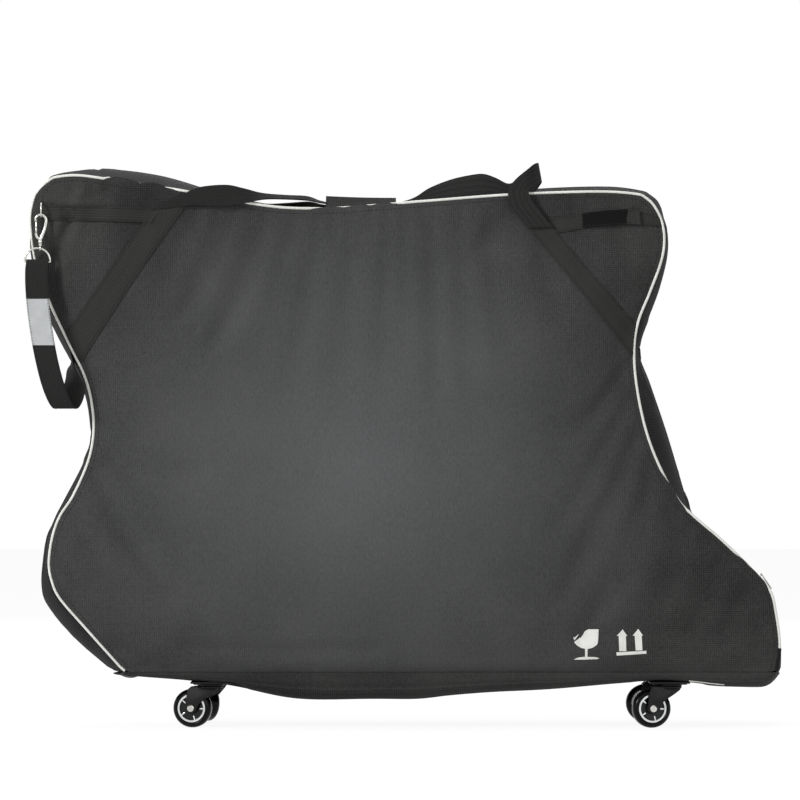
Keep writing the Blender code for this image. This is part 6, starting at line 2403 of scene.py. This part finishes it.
@dataclass
class Caster:
    """A swivel caster: a wheel with a bright ring and short spokes, in a pressed fork under a plate."""

    place: str
    at: tuple[float, float]
    heading: float
    wheel_radius: float = 0.031
    width: float = 0.021
    tread: float = 0.009
    ring_radius: float = 0.0229
    hub_radius: float = 0.0085
    trail: float = 0.030
    spokes: int = 5
    spoke_start: float = 0.29
    slot_half: float = 0.0117
    leg: float = 0.002
    plate_size: tuple[float, float] = (0.064, 0.054)
    plate_low: float = 0.0709
    plate_high: float = 0.0739
    race_height: float = 0.0042
    boss: float = 0.0085

    def frame(self) -> Matrix:
        """Where the caster stands and which way its fork turns."""
        return Matrix.Translation((*self.at, 0.0)) @ Matrix.Rotation(math.radians(self.heading), 4, "Z")

    def build(self) -> None:
        """Make the wheel, the fork and the plate."""
        self.make_wheel()
        self.make_fork()
        self.make_plate()

    def settled(self, obj: Piece) -> Piece:
        """Move a part from the caster's own frame to its place."""
        obj.data.transform(self.frame())
        return obj

    def make_wheel(self) -> None:
        """The tyre, the bright ring with its spokes, and the dark core."""
        body = f"wheel_{self.place}"
        axle = Vector((-self.trail, 0.0, self.wheel_radius))
        half, radius, wide = self.width / 2, self.wheel_radius, self.ring_radius
        shoulder = [(half - 0.0014, wide + 0.0002), (half - 0.0003, wide + 0.0012), (half, radius - 0.0060),
                    (half - 0.0010, radius - 0.0035), (half - 0.0032, radius - 0.0014),
                    (self.tread / 2 + 0.0006, radius - 0.0002), (self.tread / 4, radius)]
        profile = shoulder + [(-along, out) for along, out in reversed(shoulder)]
        profile += [(-half + 0.0050, wide - 0.0012), (half - 0.0050, wide - 0.0012)]
        tyre = turned(f"caster_tyre_{self.place}", profile, axle, ACROSS, 72)
        finish(self.settled(tyre), TYRE, body, [f"tyre_{self.place}"])
        bright, core = [], []
        for sign in (-1, 1):
            face = sign * (half - 0.0016)
            out, back, middle = face + sign * 0.0007, face - sign * 0.0030, face - sign * 0.0022
            ring = [(face, wide), (out, wide - 0.0004), (out, wide - 0.0033),
                    (face - sign * 0.0012, wide - 0.0040), (back, wide - 0.0030), (back, wide)]
            bright.append(turned("ring", ring, axle, ACROSS, 72))
            for step in range(self.spokes):
                spoke = block("spoke", (-0.0011, middle - 0.0010, 0.0036),
                              (0.0011, middle + 0.0010, wide - 0.0130), 0.0004, 2)
                turn = Matrix.Rotation(2 * math.pi * (step + self.spoke_start) / self.spokes, 4, ACROSS)
                spoke.data.transform(Matrix.Translation(axle) @ turn @ Matrix.Translation((0.0, 0.0, 0.0092)))
                bright.append(spoke)
            hub = [(0.0, 0.0031), (face + sign * 0.0022, 0.0031), (face + sign * 0.0022, 0.0072),
                   (face + sign * 0.0014, self.hub_radius), (back, 0.0094), (0.0, 0.0094)]
            core.append(turned("hub", hub, axle, ACROSS, 48))
        drum = [(-half + 0.0052, 0.0090), (-half + 0.0044, wide - 0.0006), (half - 0.0044, wide - 0.0006),
                (half - 0.0052, 0.0090)]
        core.append(turned("drum", drum, axle, ACROSS, 60))
        finish(self.settled(join(f"wheel_core_{self.place}", core)), CORE, body, [f"rim_{self.place}"])
        finish(self.settled(join(f"wheel_ring_{self.place}", bright)), BRIGHT_RIM, body)

    def make_fork(self) -> None:
        """The pressed fork: two tapered legs, a domed bridge, and the axle bolt."""
        body = f"swivel_{self.place}"
        top = self.plate_low - self.race_height - SEAT_GAP
        back, axle_z = -self.trail, self.wheel_radius
        outline = [(back + self.boss * math.cos(angle), axle_z + self.boss * math.sin(angle))
                   for angle in map(math.radians, range(165, 346, 15))]
        outline += [(back + 0.0120, axle_z + 0.0050), (back + 0.0190, axle_z + 0.0125),
                    (0.0060, top - 0.0120), (0.0140, top - 0.0060), (0.0160, top - 0.0020), (0.0150, top),
                    (back + 0.0010, top), (back - 0.0040, top - 0.0040), (back - 0.0068, top - 0.0110),
                    (back - 0.0080, axle_z + 0.0100)]
        parts = []
        for sign in (-1, 1):
            points = [Vector((x, sign * self.slot_half, z)) for x, z in outline]
            parts.append(slab("leg", points, Vector((0.0, sign * self.leg, 0.0)), 0.0006))
        width = self.slot_half + self.leg
        parts.append(block("bridge", (back + 0.0010, -width, top - 0.0030), (0.0150, width, top), 0.0012))
        dome = [(top - 0.0030, 0.0), (top - 0.0030, 0.0195), (top - 0.0010, 0.0200), (top - 0.0002, 0.0192),
                (top, 0.0150), (top, 0.0)]
        parts.append(turned("turntable", dome, Vector(), UP, 56))
        yoke = self.settled(join(f"caster_yoke_{self.place}", parts))
        finish(yoke, STEEL, body, [f"caster_fork_{self.place}"])
        head = width + SEAT_GAP
        cap = head + 0.0024
        profile = [(-cap + 0.0007, 0.0), (-cap + 0.0007, 0.0016), (-cap, 0.0021), (-cap, 0.0042),
                   (-cap + 0.0008, 0.0054), (-head, 0.0056), (-head, 0.0027), (head, 0.0027),
                   (head, 0.0050), (cap - 0.0004, 0.0048), (cap, 0.0040), (cap, 0.0)]
        bolt = turned(f"wheel_bolt_{self.place}", profile, Vector((back, 0.0, axle_z)), ACROSS, 36)
        finish(self.settled(bolt), CHROME, body, [f"axle_bolt_{self.place}"])

    def make_plate(self) -> None:
        """The top plate with slotted corners and four screws, and the ball race below it."""
        x, y = self.at
        a, b = self.plate_size[0] / 2, self.plate_size[1] / 2
        low, high = self.plate_low, self.plate_high
        plate = block("plate", (x - a, y - b, low), (x + a, y + b, high), 0.0009)
        corners = [(x + dx * (a - 0.0085), y + dy * (b - 0.0080)) for dx in (-1, 1) for dy in (-1, 1)]
        for u, v in corners:
            ends = (u - 0.0052, v - 0.0026, low - 0.002), (u + 0.0052, v + 0.0026, high + 0.002)
            cut(plate, block("slot", *ends, 0.0022, 4))
        base = low - self.race_height
        race = [(base, 0.0), (base, 0.0196), (base + 0.0006, 0.0206), (base + 0.0017, 0.0210),
                (base + 0.0022, 0.0203), (base + 0.0028, 0.0203), (base + 0.0033, 0.0210),
                (low + 0.0010, 0.0208), (low + 0.0010, 0.0)]
        parts = [plate, turned("race", race, Vector((x, y, 0.0)), UP, 56)]
        finish(join(f"caster_mount_{self.place}", parts), STEEL, "root", [f"caster_plate_{self.place}"])
        head = [(high - 0.0006, 0.0), (high - 0.0006, 0.0021), (low - 0.0001, 0.0023), (low - 0.0001, 0.0044),
                (low - 0.0012, 0.0040), (low - 0.0018, 0.0026), (low - 0.0018, 0.0014),
                (low - 0.0010, 0.0012), (low - 0.0010, 0.0)]
        screws = [turned("screw", head, Vector((u, v, 0.0)), UP, 24) for u, v in corners]
        finish(join(f"caster_screws_{self.place}", screws), STEEL, "root")


@dataclass
class BaseCover:
    """The stiffened base: its skin, its sagging belly, its rim and its lined floor, as one closed shell."""

    room: tuple[float, float, float, float] = (-0.4310, 0.5660, 0.1240, 0.0853)
    rim: float = 0.0897
    plate_floor: float = 0.0743
    plate_reach: tuple[float, float] = (0.060, 0.026)
    plate_band: tuple[float, float] = (0.055, 0.1285)
    sag: tuple[float, float, float, float] = (0.0016, 9.0, 2.2, 23.0)
    slack: float = 0.0040
    slack_reaches: tuple[float, float] = (0.10, 0.05)
    end_round: float = 0.028
    end_left: float = 0.97
    skirt: tuple[float, float] = (0.450, 0.506)
    skirt_round: tuple[float, float] = (0.15, 0.05)
    skirt_lift: float = 0.0004
    skirt_wire: float = 0.0011
    binding_inset: float = 0.0012
    binding_height: float = 0.0858
    binding_wire: float = 0.0013
    binding_short: float = 0.006
    binding_steps: int = 90
    skirt_steps: int = 12
    columns: int = 170
    outer_rows: int = 60
    girth: float = 0.45
    lining_edge: float = 0.002

    def outer(self, x: float, across: float) -> Vector:
        """A point of the outer skin, by place along the base and share of the way round below it.

        Args:
            x: distance along the bag.
            across: 0 at the far rim and 1 at the near one.

        Returns:
            The point.
        """
        angle, depth = math.pi * across, FORM.base_depth
        y = depth * math.copysign(abs(math.cos(angle)) ** FORM.squareness, math.cos(angle))
        z = self.rim - (self.rim - FORM.belly_height(x)) * abs(math.sin(angle)) ** FORM.squareness
        height, slow, lean, quick = self.sag
        sag = height * math.sin(slow * x + lean * y / depth) * math.sin(angle) * math.sin(quick * x)
        slack = self.slack
        plates = CASTERS[0].at[0], CASTERS[2].at[0]
        for at, reach in zip(plates, self.slack_reaches):
            slack *= 1 - math.exp(-((x - at) / reach) ** 2)
        z = min(z + sag - slack * math.sin(angle), self.rim)
        near_plate = min(abs(x - at) for at in plates)
        reach, slope = self.plate_reach
        if near_plate < reach and self.plate_band[0] < abs(y) < self.plate_band[1]:
            z = max(z, z + (self.plate_floor - z) * clamp((reach - near_plate) / slope))
        past = min((x - FORM.seam[-1].x) / self.end_round + 1, self.end_left)
        if past > 0:
            z = self.rim - (self.rim - z) * math.sqrt(1 - past ** 2)
        return Vector((FORM.bowed(x, y), y, z))

    def build(self) -> None:
        """Wrap the shell round, close its ends, and dress it."""
        front, rear = FORM.seam[0].x, FORM.seam[-1].x
        x0, x1, half, floor = self.room
        middle = (self.rim + floor) / 2
        inner = [(-1.0, self.rim), (-1.0, middle), *((step / 4 - 1, floor) for step in range(9)),
                 (1.0, middle), (1.0, self.rim)]
        outside = self.outer_rows
        rows = outside + len(inner) + 1

        def place(along: float, share: float) -> Vector:
            """A point of the shell, outside it and then back inside.

            Args:
                along: the share of the length.
                share: the share of the way round.

            Returns:
                The point.
            """
            row = int(share * rows + 0.5)
            x = front + (rear - front) * along
            if row <= outside:
                return self.outer(x, row / outside)
            if row == rows:
                return self.outer(x, 0.0)
            across, z = inner[row - outside - 1]
            closed = x < x0 - self.lining_edge or x > x1 + self.lining_edge
            return Vector((FORM.bowed(x, across * half), across * half, self.rim if closed else z))

        shell = grid("base_cover", self.columns, rows, place, (rear - front, self.girth))
        for face in shell.data.polygons:
            spot = face.center
            inside = abs(spot.y) < half and spot.z > floor - self.lining_edge and x0 < spot.x < x1
            face.material_index = int(inside)
        tidy_edit(shell, fill=True)
        finish(smooth(shell, 60.0), TRAY_CANVAS, "root", ["base_tray"], [LINING])
        self.binding(front, rear)

    def binding(self, front: float, rear: float) -> None:
        """A narrow canvas binding sewn round the rim of the base, and piping that peeps out at the rear.

        Args:
            front: where the base starts.
            rear: where it ends.
        """
        first, last = self.skirt
        start, turn = self.skirt_round
        for side in Side:
            y = side.value * (FORM.base_depth - self.binding_inset)
            run, count = rear - front - self.binding_short, self.binding_steps
            route = [Vector((front + run * step / count, y, self.binding_height))
                     for step in range(count + 1)]
            finish(wire(f"{side.label}_base_binding", route, self.binding_wire, 10), TRAY_CANVAS, "root")
            low = []
            for step in range(self.skirt_steps + 1):
                around = start + turn * step / self.skirt_steps
                around = around if side is Side.FAR else 1 - around
                spot = self.outer(first + (last - first) * step / self.skirt_steps, around)
                low.append(spot + Vector((0.0, side.value * self.skirt_lift, 0.0)))
            finish(wire(f"{side.label}_base_piping", low, self.skirt_wire, 10), PIPING, "root")


@dataclass
class InnerFrame:
    """The steel and alloy frame in the base: rails, plates, stands and their quick releases."""

    pieces: Sequence[tuple[str, str, Finish, float]] = (
        ("rail_near", "root", ALLOY, 0.0007), ("rail_far", "root", ALLOY, 0.0007),
        ("front_cross_plate", "root", ALLOY, 0.0007), ("rear_cross_plate", "root", ALLOY, 0.0007),
        ("rear_dropout_stand", "root", ALLOY, 0.0007),
        ("front_fork_stand", "front_fork_stand", ALLOY, 0.0007),
        ("rear_axle", "root", CHROME, 0.0006), ("front_axle", "front_fork_stand", CHROME, 0.0006),
        ("rear_qr_lever", "rear_qr_lever", CHROME, 0.0006),
        ("front_qr_lever", "front_qr_lever", CHROME, 0.0006),
        ("zip_slider", "near_side", CHROME, 0.0004), ("zip_pull", "zip_pull", CHROME, 0.0004),
        ("skid_foot_near", "root", FOOT, 0.0012), ("skid_foot_far", "root", FOOT, 0.0012))
    pull_pivot: tuple[float, float, float] = (0.57436, 0.0, 0.24487)
    pull_lean: float = 8.0

    def build(self) -> None:
        """Round the edges of each solid and give it its material."""
        for node, body, look, rounding in self.pieces:
            piece = smoothed_copy(node, rounding, 3 if look is FOOT else 2)
            if node == "zip_pull":
                pivot = Matrix.Translation(self.pull_pivot)
                lean = Matrix.Rotation(math.radians(self.pull_lean), 4, "Y")
                piece.data.transform(pivot @ lean @ pivot.inverted())
            finish(piece, look, body, [node])


@dataclass
class Signs:
    """Two handling signs printed in white: a glass, and two arrows over a bar."""

    lift: float = 0.00035
    corner: tuple[float, float] = (0.2351, 0.1816)
    step: float = 0.00011144
    film: float = 0.0002
    longest_edge: float = 0.004
    glass: Line = (
        (480, 205), (625, 205), (622, 310), (615, 400), (600, 430), (540, 470), (480, 485), (468, 490),
        (468, 598), (590, 605), (640, 620), (600, 632), (430, 640), (270, 640), (330, 610), (432, 598),
        (432, 485), (370, 470), (310, 430), (275, 390), (300, 370), (340, 345), (350, 325), (370, 330),
        (400, 290), (430, 235))
    chip: Line = (
        (262, 320), (280, 365), (300, 340), (345, 280), (335, 278), (290, 320))
    arrows: Sequence[Line] = (
        ((968, 205), (1035, 300), (1015, 300), (1022, 518), (920, 518), (912, 300), (885, 300)),
        ((1190, 198), (1258, 295), (1240, 296), (1252, 508), (1155, 508), (1140, 297), (1110, 298)))
    bar: Line = ((878, 535), (1308, 512), (1308, 555), (885, 582))

    def build(self, ground: Ground) -> None:
        """Print both signs on the panel."""
        self.print_sign("fragile_sign", [self.glass, self.chip], ground)
        self.print_sign("upright_sign", [*self.arrows, self.bar], ground)

    def print_sign(self, name: str, shapes: Sequence[Line], ground: Ground) -> None:
        """Lay flat shapes on the panel as a thin film of ink.

        Args:
            name: the piece's name.
            shapes: each shape's outline.
            ground: what the ink lies on.
        """
        work = bmesh.new()
        for shape in shapes:
            spots = [(self.corner[0] + u * self.step, 0.0, self.corner[1] - v * self.step) for u, v in shape]
            work.faces.new([work.verts.new(spot) for spot in spots])
        work.normal_update()
        bmesh.ops.triangulate(work, faces=work.faces[:], quad_method="BEAUTY", ngon_method="EAR_CLIP")
        for _ in range(3):
            long = [edge for edge in work.edges if edge.calc_length() > self.longest_edge]
            bmesh.ops.subdivide_edges(work, edges=long, cuts=1)
            bmesh.ops.triangulate(work, faces=work.faces[:])
        for vert in work.verts:
            vert.co.y = ground.surface(vert.co.x, vert.co.z).y - self.lift
        work.normal_update()
        bmesh.ops.reverse_faces(work, faces=[face for face in work.faces if face.normal.y > 0])
        finish(thicken(drawn(name, work), self.film, 1.0), PRINT, "near_side")


CASTERS = (
    Caster("front_near", (-0.3135, -0.095), -12.0), Caster("front_far", (-0.3135, 0.095), -57.0),
    Caster("rear_near", (0.4200, -0.095), 12.0), Caster("rear_far", (0.4200, 0.095), 3.0))


@dataclass
class Studio:
    """The floor, the lights, the world and the camera at the photograph's place."""

    eye: tuple[float, float, float] = (-0.011, -7.89, 0.396)
    pitch: float = 0.942
    lens: float = 219.0
    sensor: float = 36.0
    floor_size: float = 40.0
    aim: tuple[float, float, float] = (0.0, 0.0, 0.45)

    def build(self) -> None:
        """Set the whole studio up."""
        scene = bpy.context.scene
        scene.view_settings.view_transform = "Standard"
        self.make_world(scene)
        self.make_floor()
        self.lamp("key_light", (-5.0, -4.2, 3.4), 1.7, 302.0)
        self.lamp("fill_light", (2.6, -5.4, 2.4), 3.4, 46.0)
        self.lamp("top_light", (0.0, 0.6, 4.4), 3.0, 60.0)
        self.lamp("back_light", (0.6, 5.0, 2.6), 3.4, 60.0)
        camera = bpy.data.cameras.new("camera")
        camera.lens = self.lens
        camera.sensor_width = self.sensor
        camera.clip_end = 100.0
        scene.camera = in_scene("camera", camera)
        scene.camera.location = self.eye
        scene.camera.rotation_euler = (math.radians(90 + self.pitch), 0.0, 0.0)

    def backdrop_share(self, tree: Tree) -> Socket:
        """One where a ray comes from the camera, a mirror or glass.

        Args:
            tree: the world's or a material's node tree.

        Returns:
            The factor's socket.
        """
        path = add_node(tree, "ShaderNodeLightPath")
        seen = combine(tree, "MAXIMUM", path.outputs["Is Camera Ray"], path.outputs["Is Glossy Ray"])
        return combine(tree, "MAXIMUM", seen, path.outputs["Is Transmission Ray"])

    def make_world(self, scene: bpy.types.Scene) -> None:
        """A white surround to look at, and an even grey light from all round.

        Args:
            scene: the scene that gets the world.
        """
        world = bpy.data.worlds.new("surround")
        world.use_nodes = True
        scene.world = world
        tree = world.node_tree
        background = tree.nodes["Background"]
        background.inputs["Color"].default_value = (1.0, 1.0, 1.0, 1.0)
        strength = add_node(tree, "ShaderNodeMapRange",
                            {0: self.backdrop_share(tree), 3: 0.30, 4: 1.0}).outputs[0]
        tree.links.new(strength, background.inputs["Strength"])

    def make_floor(self) -> None:
        """A pale floor that keeps a soft shadow."""
        deselect()
        bpy.ops.mesh.primitive_plane_add(size=self.floor_size, location=(0.0, 0.0, -0.0002))
        floor = bpy.context.object
        floor.name = floor.data.name = "floor"
        made = bpy.data.materials.new("pale_floor")
        made.use_nodes = True
        tree = made.node_tree
        shader = tree.nodes["Principled BSDF"]
        shader.inputs["Base Color"].default_value = linear("#f2f2f2")
        shader.inputs["Roughness"].default_value = 0.9
        glow = add_node(tree, "ShaderNodeEmission", {"Color": (1.0, 1.0, 1.0, 1.0), "Strength": 1.08})
        share = add_node(tree, "ShaderNodeMapRange", {0: self.backdrop_share(tree), 3: 0.0, 4: 0.84})
        sources = {index: node.outputs[0] for index, node in enumerate((share, shader, glow))}
        mix = add_node(tree, "ShaderNodeMixShader", sources)
        tree.links.new(mix.outputs[0], tree.nodes["Material Output"].inputs["Surface"])
        floor.data.materials.append(made)

    def lamp(self, name: str, place: Sequence[float], size: float, power: float) -> None:
        """A large soft lamp turned to the middle of the bag.

        Args:
            name: the lamp's name.
            place: where it hangs.
            size: its width in metres.
            power: its power in watts.
        """
        light = bpy.data.lights.new(name, "AREA")
        light.size = size
        light.energy = power
        obj = in_scene(name, light)
        obj.location = place
        towards = Vector(self.aim) - Vector(place)
        obj.rotation_euler = towards.to_track_quat("-Z", "Y").to_euler()


def main() -> None:
    """Dress the whole bag, piece by piece."""
    random.seed(SEED)
    Studio().build()
    for side in Side:
        panel, skin = PanelCover(side).build()
        gusset = GussetCover(side).build()
        Edging(side).build(skin)
        ZipSide(side).build()
        Webs(side).build(panel, gusset)
        GripWrap(side).build(gusset)
        if side is Side.NEAR:
            Signs().build(Ground(side, [panel]))
            cross = bpy.data.objects["near_rear_cross_webbing"]
            PatchStrap().build(Ground(side, [panel, cross]))
    FrontMetal().build()
    BaseCover().build()
    InnerFrame().build()
    for caster in CASTERS:
        caster.build()


if __name__ == "__main__":
    logging.basicConfig(level=logging.INFO, format="%(message)s")
    main()
